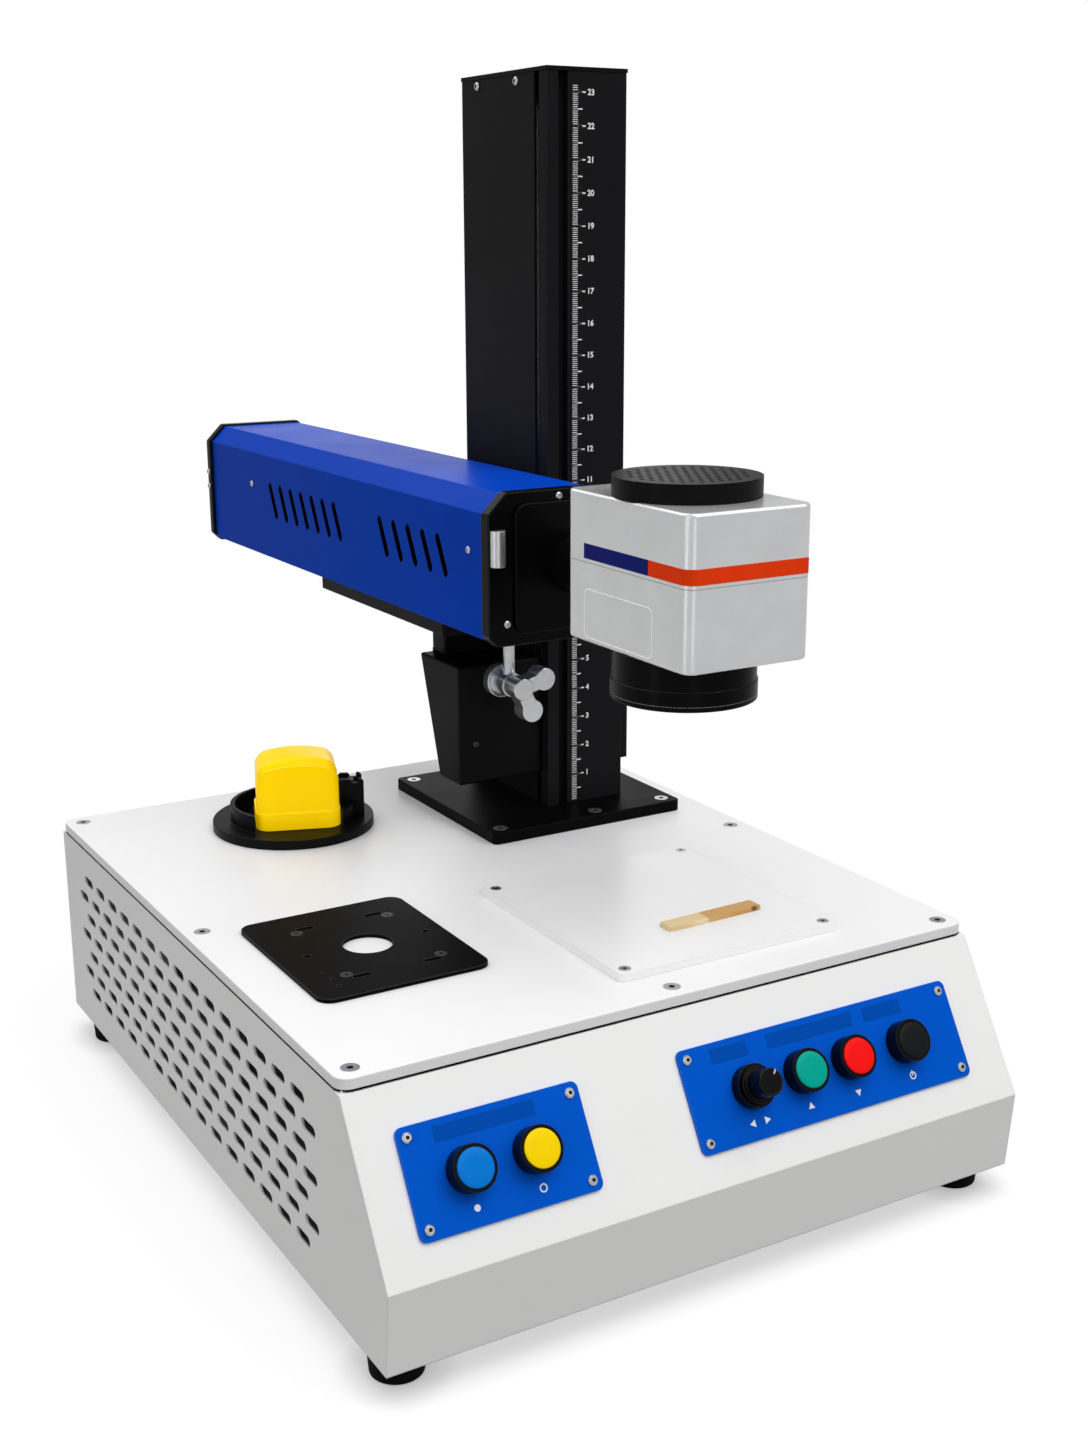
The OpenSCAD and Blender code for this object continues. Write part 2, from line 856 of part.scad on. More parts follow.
module fixture_plate() {
    color("#17181a") place() difference() {
        translate([fixture_x, fixture_y, deck_top]) slab(fixture_w, fixture_d, fixture_t, fixture_r);
        translate([fixture_x + fixture_bore_dx, fixture_y, deck_top - over]) {
            cylinder(h = fixture_t + 2 * over, r = fixture_bore_r);
            for (s = [-1, 1]) {
                translate([s * fixture_tap_dx, 0, 0])
                    cylinder(h = fixture_t + 2 * over, r = fixture_tap_r);
            }
            for (sx = [-1, 1], sy = [-1, 1]) {
                translate([sx * fixture_slot_dx, sy * fixture_slot_dy, 0])
                    linear_extrude(fixture_t + 2 * over) slot_2d(fixture_slot_l, fixture_slot_w);
            }
        }
        for (share = fixture_hole_shares) {
            translate([fixture_x + share[0] * fixture_w, fixture_y + share[1] * fixture_d,
                       deck_top - over]) cylinder(h = fixture_t + 2 * over, r = fixture_hole_r);
        }
        for (p = fixture_screw_places) {
            translate([p[0], p[1], deck_top + fixture_t])
                countersunk(plate_screw_r, plate_shank_r, plate_screw_l, play);
        }
    }
}

module work_plate() {
    color("#f4f4f3") place() difference() {
        translate([work_plate_x, work_plate_y, deck_top])
            slab(work_plate_w, work_plate_d, work_plate_t, work_plate_r);
        for (p = work_screw_places) {
            translate([p[0], p[1], deck_top + work_plate_t])
                countersunk(plate_screw_r, plate_shank_r, plate_screw_l, play);
        }
    }
}

module plate_screws() {
    color("#c9ccce") place() {
        for (p = fixture_screw_places) {
            translate([p[0], p[1], deck_top + fixture_t])
                countersunk_screw(plate_screw_r, plate_shank_r, plate_screw_l);
        }
        for (p = work_screw_places) {
            translate([p[0], p[1], deck_top + work_plate_t])
                countersunk_screw(plate_screw_r, plate_shank_r, plate_screw_l);
        }
    }
}

module locating_bar() {
    color("#d9b26a") place() translate([bar_x, bar_y, deck_top + work_plate_t])
        rotate([0, 0, bar_turn]) slab(bar_l, bar_w, bar_t, over);
}

module socket_flange() {
    bracket_cut_w = 2 * (knuckle_w / 2 + pass_gap + ear_t + collar_cut_gap);
    color("#131415") place() at_socket() difference() {
        union() {
            cylinder(h = flange_t, r = flange_r);
            cylinder(h = flange_t + collar_h, r = collar_r);
        }
        translate([0, 0, flange_t]) cylinder(h = collar_h + over, r = collar_r - collar_t);
        translate([cover_u - cover_w / 2 - collar_cut_gap, -collar_r - over, flange_t])
            cube([cover_w + 2 * collar_cut_gap, collar_r, collar_h + over]);
        translate([hinge_u - ear_in, -bracket_cut_w / 2, flange_t])
            cube([collar_r, bracket_cut_w, collar_h + over]);
        translate([cover_u, cover_v, -over])
            cylinder(h = flange_t + 2 * over, r = insert_r + play);
    }
}

module socket_insert() {
    color("#2b2d30") place() at_insert() {
        difference() {
            union() {
                translate([0, 0, -insert_depth]) cylinder(h = insert_depth + insert_top, r = insert_r);
                translate([0, 0, flange_t]) cylinder(h = insert_rim, r = insert_r + insert_rim);
            }
            translate([0, 0, insert_rim - insert_depth])
                cylinder(h = insert_depth + insert_top, r = insert_bore_r);
        }
        for (i = [0 : contact_pins - 1]) {
            rotate([0, 0, i * 360 / contact_pins]) translate([contact_circle_r, 0, -insert_depth])
                cylinder(h = insert_rim + contact_pin_h, r = contact_pin_r);
        }
    }
}

// Outline of one hinge ear: a cheek with chamfered top corners and a notch behind the axis.
module ear_2d() {
    top = hinge_z + ear_rise;
    x0 = hinge_u - ear_in;
    x1 = hinge_u + ear_out;
    notch_x0 = hinge_u + ear_notch_x;
    polygon([[x0, flange_t], [x1, flange_t], [x1, top - ear_chamfer], [x1 - ear_chamfer, top],
             [notch_x0 + ear_notch_w, top], [notch_x0 + ear_notch_w, top - ear_notch_d],
             [notch_x0, top - ear_notch_d], [notch_x0 - ear_chamfer, top],
             [x0 + ear_chamfer, top], [x0, top - ear_chamfer]]);
}

module cover_hinge_bracket() {
    ear_y = knuckle_w / 2 + pass_gap;
    foot_x0 = cover_u + cover_w / 2 + pass_gap + cover_lip;
    foot_l = hinge_u + ear_out - foot_x0;
    color("#121314") place() at_socket() {
        translate([foot_x0, -ear_foot_w / 2, flange_t]) cube([foot_l, ear_foot_w, ear_foot_h]);
        for (s = [-1, 1]) {
            translate([0, s * (ear_y + ear_t / 2) + ear_t / 2, 0]) rotate([90, 0, 0])
                linear_extrude(ear_t) ear_2d();
        }
        translate([hinge_u, ear_y + ear_t, hinge_z]) rotate([90, 0, 0])
            cylinder(h = 2 * (ear_y + ear_t), r = knuckle_bore_r - run_gap);
    }
}

// Rounded box of the cover, drawn in by t and standing on z = 0; its top falls towards the front.
module cover_form(t) {
    r = cover_round_r;
    w = cover_w - 2 * cover_lip - 2 * t;
    d = cover_d - 2 * cover_lip - 2 * t;
    hull() for (sx = [-1, 1], sy = [-1, 1]) {
        translate([sx * (w / 2 - r), sy * (d / 2 - r), 0]) {
            cylinder(h = r, r = r, $fn = 24);
            translate([0, 0, cover_h - t - r - (sy < 0 ? cover_fall : 0)]) sphere(r, $fn = 24);
        }
    }
}

module socket_cover() {
    low = flange_t + pass_gap;
    arm_x0 = cover_u + cover_w / 2 - cover_lip - cover_wall / 2;
    arm_z0 = hinge_z - knuckle_r;
    color("#ffd400") place() at_socket() {
        difference() {
            translate([cover_u, cover_v, low]) union() {
                cover_form(0);
                slab(cover_w, cover_d, cover_lip_h, cover_corner_r);
            }
            translate([cover_u, cover_v, low - over]) union() {
                cover_form(cover_wall);
                slab(cover_w - 2 * (cover_wall + cover_lip), cover_d - 2 * (cover_wall + cover_lip),
                     cover_round_r, cover_round_r);
            }
        }
        difference() {
            union() {
                translate([hinge_u, knuckle_w / 2, hinge_z]) rotate([90, 0, 0])
                    cylinder(h = knuckle_w, r = knuckle_r);
                translate([arm_x0, -knuckle_w / 2, hinge_z])
                    cube([hinge_u - arm_x0, knuckle_w, knuckle_r]);
            }
            translate([hinge_u, knuckle_w / 2 + over, hinge_z]) rotate([90, 0, 0])
                cylinder(h = knuckle_w + 2 * over, r = knuckle_bore_r);
        }
    }
}

module column_base_plate() {
    color("#141516") place() difference() {
        translate([base_plate_x, base_plate_y, deck_top])
            slab(base_plate_w, base_plate_w, base_plate_t, base_plate_r);
        for (p = base_screw_places) {
            translate([p[0], p[1], base_plate_top])
                countersunk(deck_screw_r, deck_shank_r, deck_screw_l, play);
        }
        translate([column_x, lead_y, deck_top - over])
            cylinder(h = base_plate_t + 2 * over, r = rod_r + run_gap);
        for (s = [-1, 1]) {
            translate([column_x, lead_y + s * rod_pitch / 2, base_plate_top - rod_sink])
                cylinder(h = rod_sink + over, r = rod_r);
        }
    }
}

// Plan of the column: a box open on its left, with a corner post and a front channel.
module column_plan() {
    translate([column_x0, column_front]) square([post_w, post_d]);
    translate([column_x0, column_front + post_d - channel_floor_t])
        square([post_w + channel_w + column_wall, channel_floor_t]);
    translate([channel_x1, column_front]) square([column_wall, post_d]);
    translate([channel_x1, column_front]) square([column_x1 - channel_x1, column_wall]);
    translate([column_x1 - column_wall, column_front]) square([column_wall, column_d]);
    translate([column_x0 + cover_t, column_rear - column_wall])
        square([column_w - cover_t, column_wall]);
}

module column_profile() {
    color("#16171a") place() translate([0, 0, base_plate_top]) linear_extrude(column_h)
        column_plan();
}

module column_side_cover() {
    color("#191a1d") place() difference() {
        translate([column_x0, cover_front, base_plate_top])
            cube([cover_t, column_rear - cover_front, column_h]);
        for (p = cover_screw_places) {
            translate([column_x0 - over, p[0], p[1]]) rotate([0, 90, 0])
                cylinder(h = cover_t + 2 * over, r = button_shank_r + play);
        }
    }
}

module column_cap() {
    block_x0 = column_x0 + cover_t + play;
    block_w = column_x1 - column_wall - play - block_x0;
    block_y0 = cover_front + cap_block_inset;
    block_d = column_rear - column_wall - play - block_y0;
    color("#141516") place() difference() {
        union() {
            translate([column_x, column_front + column_d / 2, column_top])
                slab(column_w + 2 * cap_over, column_d + 2 * cap_over, cap_plate_t, cap_over);
            translate([block_x0, block_y0, column_top - cap_block_h])
                cube([block_w, block_d, cap_block_h]);
        }
        for (p = cover_screw_places) {
            translate([column_x0, p[0], p[1]]) rotate([0, 90, 0])
                cylinder(h = button_screw_l + over, r = button_shank_r + play);
        }
        translate([column_x, lead_y, column_top - cap_block_h - over])
            cylinder(h = rod_top + over, r = rod_r + run_gap);
        for (s = [-1, 1]) {
            translate([column_x, lead_y + s * rod_pitch / 2, column_top - cap_block_h - over])
                cylinder(h = rod_top + over, r = rod_r);
        }
    }
}

module limit_switch_rail() {
    x0 = column_x1 + rail_off;
    color("#141517") place() translate([0, column_front + rail_y, base_plate_top + rail_z]) {
        translate([x0, 0, 0]) cube([rail_t, rail_w, rail_l]);
        for (share = [rail_boss_share, 1 - rail_boss_share]) {
            translate([column_x1, rail_w / 2, share * rail_l]) rotate([0, 90, 0])
                cylinder(h = rail_off, r = rail_boss_r);
        }
    }
}

module guide_rods() {
    low = base_plate_top - rod_sink;
    color("#c4c7c9") place() for (s = [-1, 1]) {
        translate([column_x, lead_y + s * rod_pitch / 2, low])
            cylinder(h = column_top - cap_block_h + rod_top - low, r = rod_r);
    }
}

motor_top = deck_bottom - bell_h;
coupling_low = motor_top + coupling_gap;
coupling_high = deck_bottom - coupling_gap;

module z_motor() {
    color("#26282b") place() translate([column_x, lead_y, 0]) difference() {
        union() {
            translate([0, 0, motor_top - motor_l]) slab(motor_w, motor_w, motor_l, motor_r);
            translate([0, 0, motor_top]) cylinder(h = bell_h, r = bell_r);
            translate([0, 0, deck_bottom - bell_flange_t])
                cylinder(h = bell_flange_t, r = bell_flange_r);
        }
        translate([0, 0, motor_top]) cylinder(h = bell_h + over, r = bell_bore_r);
        translate([0, 0, coupling_low - motor_shaft_l - over])
            cylinder(h = motor_shaft_l + coupling_gap, r = motor_shaft_r + run_gap);
    }
}

module shaft_coupling() {
    mid = (coupling_low + coupling_high) / 2;
    color("#b9bcbf") place() translate([column_x, lead_y, 0]) difference() {
        union() {
            translate([0, 0, coupling_low])
                cylinder(h = coupling_high - coupling_low, r = coupling_r);
            translate([0, 0, coupling_low - motor_shaft_l])
                cylinder(h = motor_shaft_l, r = motor_shaft_r);
        }
        translate([0, 0, coupling_high - journal_l])
            cylinder(h = journal_l + over, r = journal_r);
        translate([0, 0, mid]) rotate_extrude()
            translate([coupling_r - coupling_groove, 0]) square([2 * coupling_groove, coupling_groove]);
    }
}

module lead_screw() {
    color("#a9adb0") place() translate([column_x, lead_y, 0]) {
        translate([0, 0, coupling_high - journal_l]) cylinder(h = journal_l, r = journal_r);
        translate([0, 0, coupling_high])
            cylinder(h = column_top - cap_block_h + rod_top - over - coupling_high, r = rod_r);
    }
}

module carriage_block() {
    low = carriage_low;
    y0 = carriage_front;
    y1 = column_rear - column_wall - carriage_rear_gap;
    color("#8f9397") place() difference() {
        translate([column_x - carriage_w / 2, y0, low]) cube([carriage_w, y1 - y0, carriage_h]);
        for (s = [-1, 1]) {
            translate([column_x, lead_y + s * rod_pitch / 2, low - over])
                cylinder(h = carriage_h + 2 * over, r = bushing_r);
        }
        translate([column_x, lead_y, low - over]) cylinder(h = carriage_h + 2 * over, r = nut_r);
    }
}

module guide_bushings() {
    color("#b58a3c") place() for (s = [-1, 1], z = [carriage_low, carriage_high - bushing_l]) {
        translate([column_x, lead_y + s * rod_pitch / 2, z]) difference() {
            cylinder(h = bushing_l, r = bushing_r);
            translate([0, 0, -over]) cylinder(h = bushing_l + 2 * over, r = rod_r + run_gap);
        }
    }
}

module lead_nut() {
    color("#c99a3a") place() translate([column_x, lead_y, carriage_low]) difference() {
        union() {
            cylinder(h = nut_l, r = nut_r);
            translate([0, 0, -nut_flange_t]) cylinder(h = nut_flange_t, r = nut_flange_r);
        }
        translate([0, 0, -nut_flange_t - over])
            cylinder(h = nut_l + nut_flange_t + 2 * over, r = rod_r + run_gap);
    }
}

module carriage_bracket() {
    x1 = column_x0 - bracket_gap;
    color("#151618") place() difference() {
        union() {
            extrude_x(bracket_x0, x1 - bracket_x0) polygon([
                [bracket_front, carriage_low], [bracket_front + bracket_bottom_d, carriage_low],
                [bracket_front + bracket_top_d, bracket_top], [bracket_front, bracket_top]]);
            translate([x1 - over, tongue_y0, carriage_low])
                cube([tongue_in + over, tongue_t, carriage_h]);
            translate([riser_x0, riser_front, bracket_top - over])
                cube([x1 - riser_x0, riser_d, riser_h]);
        }
        translate([bracket_screw_x, bracket_front - over, carriage_low + bracket_screw_z])
            rotate([-90, 0, 0]) cylinder(h = side_shank_l + 2 * over, r = side_shank_r + play);
    }
}

module arm_plate() {
    color("#17181a") place() translate([head_x, arm_front + arm_l / 2, arm_low])
        slab(arm_w, arm_l, arm_t, arm_r);
}

module clamp_hub() {
    z = carriage_low + clamp_z;
    color("#c8cbcd") place() difference() {
        translate([clamp_x, bracket_front, z]) rotate([90, 0, 0]) {
            cylinder(h = clamp_disc_t, r = clamp_disc_r);
            cylinder(h = clamp_disc_t + clamp_barrel_l, r = clamp_barrel_r);
        }
        translate([clamp_x, post_y, z]) cylinder(h = clamp_barrel_r + over, r = post_r);
        translate([clamp_x, bracket_front - clamp_disc_t - clamp_barrel_l - over, z])
            rotate([-90, 0, 0]) cylinder(h = stud_l + 2 * over, r = stud_r + 2 * run_gap);
    }
}

module clamp_post() {
    z = carriage_low + clamp_z;
    color("#d5d7d9") place() translate([clamp_x, post_y, z]) cylinder(h = arm_low - z, r = post_r);
}

module wing_handle() {
    face = bracket_front - clamp_disc_t - clamp_barrel_l - pass_gap;
    color("#d0d2d4") place() translate([clamp_x, face, carriage_low + clamp_z]) rotate([90, 0, 0]) {
        cylinder(h = wing_hub_l, r = wing_hub_r);
        translate([0, 0, -stud_l]) cylinder(h = stud_l + over, r = stud_r);
        translate([0, 0, wing_hub_l - wing_rise - wing_t]) linear_extrude(wing_t) {
            for (a = wing_degs) {
                rotate(a) {
                    translate([0, -wing_arm_w / 2]) square([wing_reach, wing_arm_w]);
                    translate([wing_reach, 0]) circle(wing_r);
                }
            }
        }
    }
}

// Cross-section of the head's shell in X and Z, standing on its bottom.
head_outline = [[head_x - head_w / 2, head_low], [head_x + head_w / 2, head_low],
                [head_x + head_w / 2, head_low + head_h - head_chamfer],
                [head_x + head_w / 2 - head_chamfer, head_low + head_h],
                [head_x - head_w / 2 + head_chamfer, head_low + head_h],
                [head_x - head_w / 2, head_low + head_h - head_chamfer]];

// Places of the side screws as [y, z].
side_screw_places = [for (y = side_screw_ys) [head_front + y, head_low + side_screw_z]];

module head_shell() {
    color("#1246c4") place() difference() {
        extrude_front(head_rear, head_l) polygon(head_outline);
        extrude_front(head_rear + over, head_l + 2 * over)
            polygon(inset_outline(head_outline, head_sheet));
        extrude_x(head_x - head_w / 2 - over, head_w + 2 * over) {
            for (row = slot_rows, i = [0 : row[0] - 1]) {
                translate([head_front + row[2] + (i - (row[0] - 1) / 2) * row[1], head_low + slot_z])
                    rotate(slot_tilt) slot_2d(slot_l, slot_w);
            }
            for (p = side_screw_places) {
                translate(p) circle(side_shank_r + play);
            }
        }
    }
}

// Outline of the head's end plates in X and Z.
end_x = head_w / 2 + plate_over;
end_low = head_low - plate_low;
end_high = head_low + head_h + plate_high;
end_outline = [[head_x - end_x + plate_foot_chamfer, end_low],
               [head_x + end_x - plate_foot_chamfer, end_low],
               [head_x + end_x, end_low + plate_foot_chamfer],
               [head_x + end_x, end_high - plate_chamfer],
               [head_x + end_x - plate_chamfer, end_high],
               [head_x - end_x + plate_chamfer, end_high],
               [head_x - end_x, end_high - plate_chamfer],
               [head_x - end_x, end_low + plate_foot_chamfer]];

module head_front_plate() {
    color("#101113") place() difference() {
        extrude_front(head_front, front_plate_t) polygon(end_outline);
        extrude_front(head_front + over, front_plate_t + 2 * over) {
            translate([beam_x, beam_level]) circle(beam_hole_r);
            for (p = front_screws) {
                translate([head_x + p[0], head_low + p[1]]) circle(side_shank_r + play);
            }
        }
    }
}

module head_rear_plate() {
    color("#101113") place() difference() {
        extrude_front(head_rear + rear_plate_t, rear_plate_t) polygon(end_outline);
        for (z = rear_screw_zs, sx = [-1, 1]) {
            translate([head_x + sx * end_x, head_rear + rear_plate_t / 2, head_low + z])
                rotate([0, sx * 90, 0]) translate([0, 0, -side_shank_l - over])
                    cylinder(h = side_shank_l + 2 * over, r = side_shank_r + play);
        }
    }
}

module head_cover_panel() {
    z = head_low + cover_panel_low + cover_panel_h / 2;
    color("#0d0e10") place() difference() {
        extrude_front(head_front - front_plate_t, cover_panel_t) translate([head_x, z])
            rounded_rect(cover_panel_w, cover_panel_h, cover_panel_r);
        extrude_front(head_front - front_plate_t + over, cover_panel_t + 2 * over)
            translate([beam_x, beam_level]) circle(tube_r + play);
    }
}

module head_screw() {
    headed_screw(side_screw_r, side_screw_h, side_shank_r, side_shank_l);
}

module head_screws() {
    color("#cfd2d4") place() {
        for (p = side_screw_places, sx = [-1, 1]) {
            translate([head_x + sx * head_w / 2, p[0], p[1]]) rotate([0, sx * 90, 0]) head_screw();
        }
        for (z = rear_screw_zs, sx = [-1, 1]) {
            translate([head_x + sx * end_x, head_rear + rear_plate_t / 2, head_low + z])
                rotate([0, sx * 90, 0]) head_screw();
        }
        for (p = front_screws) {
            translate([head_x + p[0], head_front - front_plate_t, head_low + p[1]])
                rotate([90, 0, 0]) head_screw();
        }
        translate([bracket_screw_x, bracket_front, carriage_low + bracket_screw_z])
            rotate([90, 0, 0]) head_screw();
    }
}

module head_latch() {
    face = head_front - front_plate_t;
    color("#c5c8ca") place() intersection() {
        translate([head_x + latch_x, face, head_low + latch_z]) cylinder(h = latch_l, r = latch_r);
        translate([head_x + latch_x - latch_r, face - latch_r, head_low])
            cube([2 * latch_r, latch_r, head_h]);
    }
}

module beam_tube() {
    face = head_front - front_plate_t;
    color("#0f1012") place() difference() {
        translate([beam_x, face, beam_level]) rotate([90, 0, 0]) {
            cylinder(h = face - galvo_rear, r = tube_r);
            translate([0, 0, face - galvo_rear - tube_flange_t])
                cylinder(h = tube_flange_t, r = tube_flange_r);
        }
        translate([beam_x, face + over, beam_level]) rotate([90, 0, 0])
            cylinder(h = face - galvo_rear + 2 * over, r = tube_bore_r);
    }
}

module galvo_housing() {
    color("#c9cbcd") place() difference() {
        translate([head_x, galvo_y, galvo_low]) slab(galvo_w, galvo_d, galvo_h, galvo_r);
        translate([head_x - galvo_w / 2 + galvo_wall, galvo_front + galvo_wall,
                   galvo_low + galvo_wall])
            cube([galvo_w - 2 * galvo_wall, galvo_d - 2 * galvo_wall, galvo_h - 2 * galvo_wall]);
        translate([head_x, galvo_y, galvo_low - over])
            cylinder(h = galvo_wall + 2 * over, r = lens_neck_r);
        extrude_front(galvo_rear + over, galvo_wall + 2 * over)
            translate([beam_x, beam_level]) circle(tube_bore_r);
    }
}

module galvo_cap() {
    color("#151618") place() translate([head_x, galvo_y, galvo_high]) difference() {
        cylinder(h = vent_cap_h, r = lens_r);
        translate([0, 0, -over])
            cylinder(h = vent_cap_h - vent_cap_wall + over, r = lens_r - vent_cap_wall);
        linear_extrude(vent_cap_h + over) hole_field(vent_field_r, vent_hole_pitch, vent_hole_r);
    }
}

module galvo_motors() {
    motor_y_l = galvo_rear - galvo_wall - galvo_y - scan_gap;
    motor_x_l = galvo_high - galvo_wall - beam_level - scan_gap;
    color("#7d8185") place() {
        translate([beam_x, galvo_y, beam_level + scan_gap]) difference() {
            cylinder(h = motor_x_l, r = scan_motor_r);
            translate([0, 0, -over])
                cylinder(h = motor_x_l / 2 + over, r = scan_shaft_r + run_gap);
        }
        translate([head_x, galvo_y + scan_gap, beam_level]) rotate([-90, 0, 0]) difference() {
            cylinder(h = motor_y_l, r = scan_motor_r);
            translate([0, 0, -over])
                cylinder(h = motor_y_l / 2 + over, r = scan_shaft_r + run_gap);
        }
    }
}

// A scanner mirror of width w and height h with its shaft standing up from the mirror's top edge.
module scan_mirror(w, h, shaft_l) {
    translate([-w / 2, -mirror_t / 2, -h / 2]) cube([w, mirror_t, h]);
    translate([0, 0, h / 2 - over]) cylinder(h = shaft_l + over, r = scan_shaft_r);
}

module mirror_x() {
    color("#dfe3ea") place() translate([beam_x, galvo_y, beam_level]) rotate([0, 0, mirror_turn])
        scan_mirror(mirror_x_size[0], mirror_x_size[1], scan_gap);
}

module mirror_y() {
    color("#dfe3ea") place() translate([head_x, galvo_y, beam_level]) rotate([-90, -mirror_turn, 0])
        scan_mirror(mirror_y_size[0], mirror_y_size[1], scan_gap);
}

module lens_barrel() {
    color("#141517") place() translate([head_x, galvo_y, galvo_low]) difference() {
        union() {
            translate([0, 0, -lens_h]) cylinder(h = lens_ring_h, r = lens_r);
            translate([0, 0, -lens_h]) cylinder(h = lens_h, r = lens_r - lens_step);
            cylinder(h = galvo_wall, r = lens_neck_r - play);
        }
        translate([0, 0, -lens_h - over])
            cylinder(h = lens_h + galvo_wall + 2 * over, r = lens_bore_r);
        translate([0, 0, -lens_h - over]) cylinder(h = lens_seat_h + over, r = lens_seat_r);
    }
}

module lens_glass() {
    color("#6f7f92") place() translate([head_x, galvo_y, galvo_low - lens_h + lens_seat_h])
        translate([0, 0, -lens_glass_t]) cylinder(h = lens_glass_t, r = lens_seat_r - play);
}

module laser_module() {
    y0 = head_front + module_y;
    color("#9ea3a8") place() {
        translate([head_x - module_w / 2, y0, head_low + head_sheet])
            cube([module_w, module_l, module_h]);
        translate([beam_x, y0 + over, beam_level]) rotate([90, 0, 0])
            cylinder(h = nozzle_l + over, r = nozzle_r);
    }
}

module power_supply() {
    color("#b4b8ba") place() translate([supply_x0, supply_y1 - supply_size[1], pan_top])
        cube(supply_size);
}

module control_board() {
    color("#1f6b3a") place() translate([board_x, board_y, pan_top]) {
        for (p = corner_places(board_size[0], board_size[1], board_inset)) {
            translate(p) cylinder(h = board_off + over / 2, r = board_post_r);
        }
        translate([-board_size[0] / 2, -board_size[1] / 2, board_off]) cube(board_size);
        translate([-chip_size[0] / 2, board_inset, board_off + board_size[2]]) cube(chip_size);
        translate([-board_size[0] / 2 + board_inset, -board_size[1] / 2 + 2 * board_inset,
                   board_off + board_size[2]]) cube(sink_size);
    }
}

module fan_frame() {
    color("#1b1c1e") place() {
        difference() {
            extrude_front(fan_face, fan_t) translate([fan_x, fan_z])
                rounded_rect(fan_w, fan_w, motor_r);
            extrude_front(fan_face + over, fan_t + 2 * over) translate([fan_x, fan_z])
                circle(fan_bore_r);
        }
        extrude_front(fan_face, fan_plate_t) translate([fan_x, fan_z]) {
            circle(fan_hub_r);
            for (a = [0 : 120 : 240]) {
                rotate(a) translate([0, -fan_spoke_w / 2])
                    square([fan_bore_r + fan_spoke_w / 2, fan_spoke_w]);
            }
        }
        extrude_front(fan_face - fan_plate_t + over, fan_t - 2 * fan_plate_t)
            translate([fan_x, fan_z]) circle(fan_shaft_r);
    }
}

module fan_rotor() {
    hub_l = fan_t - 3 * fan_plate_t;
    color("#202226") place() translate([fan_x, fan_face - fan_plate_t - pass_gap, fan_z])
        rotate([90, 0, 0]) difference() {
            union() {
                cylinder(h = hub_l, r = fan_hub_r);
                for (i = [0 : blade_count - 1]) {
                    rotate([0, 0, i * 360 / blade_count]) translate([fan_hub_r - over, 0, hub_l / 2])
                        rotate([blade_deg, 0, 0]) translate([0, -blade_h / 2, -blade_t / 2])
                            cube([blade_reach - fan_hub_r + over, blade_h, blade_t]);
                }
            }
            translate([0, 0, -over]) cylinder(h = hub_l + 2 * over, r = fan_shaft_r + run_gap);
        }
}

module mains_inlet() {
    color("#191a1c") place() {
        difference() {
            union() {
                extrude_front(deck_d + inlet_flange[2], inlet_flange[2]) translate([inlet_x, inlet_z])
                    rounded_rect(inlet_flange[0], inlet_flange[1], inlet_flange[2]);
                extrude_front(deck_d + over, inlet_body[2] + over) translate([inlet_x, inlet_z])
                    square([inlet_body[0], inlet_body[1]], center = true);
            }
            extrude_front(deck_d + inlet_flange[2] + over, inlet_recess[2] + over)
                translate([inlet_x, inlet_z]) square([inlet_recess[0], inlet_recess[1]],
                                                    center = true);
        }
        for (i = [-1 : 1]) {
            translate([inlet_x + i * inlet_pin_pitch - inlet_pin[0] / 2,
                       deck_d + inlet_flange[2] - inlet_recess[2] - over,
                       inlet_z - inlet_pin[1] / 2])
                cube([inlet_pin[0], inlet_pin[2] + over, inlet_pin[1]]);
        }
    }
}

cabinet_shell();
bottom_pan();
rubber_feet();
top_plate();
deck_screws();
marking_panel();
axis_panel();
button_head_screws();
switch_bodies();
fixture_plate();
work_plate();
plate_screws();
locating_bar();
socket_flange();
socket_insert();
cover_hinge_bracket();
column_base_plate();
column_profile();
column_side_cover();
column_cap();
limit_switch_rail();
guide_rods();
z_motor();
power_supply();
control_board();
fan_frame();
mains_inlet();
laser_button();
test_button();
up_button();
down_button();
power_button();
selector_knob();
socket_cover();
fan_rotor();
lead_screw();
shaft_coupling();
carriage_block();
guide_bushings();
lead_nut();
carriage_bracket();
arm_plate();
clamp_hub();
clamp_post();
wing_handle();
head_shell();
head_front_plate();
head_rear_plate();
head_cover_panel();
head_screws();
head_latch();
beam_tube();
galvo_housing();
galvo_cap();
galvo_motors();
mirror_x();
mirror_y();
lens_barrel();
lens_glass();
laser_module();
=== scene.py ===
"""A bench laser marking machine in a plain studio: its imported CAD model, finished for close views.

The machine stands on its rubber feet with the sloped control front towards -Y. Its sub-assemblies
are classes that hold their sizes in millimetres, model their own pieces and dress the CAD nodes.
"""

import json
import logging
import math
from collections.abc import Callable, Sequence
from dataclasses import dataclass, field, replace
from enum import Enum

import bpy
from mathutils import Matrix, Vector

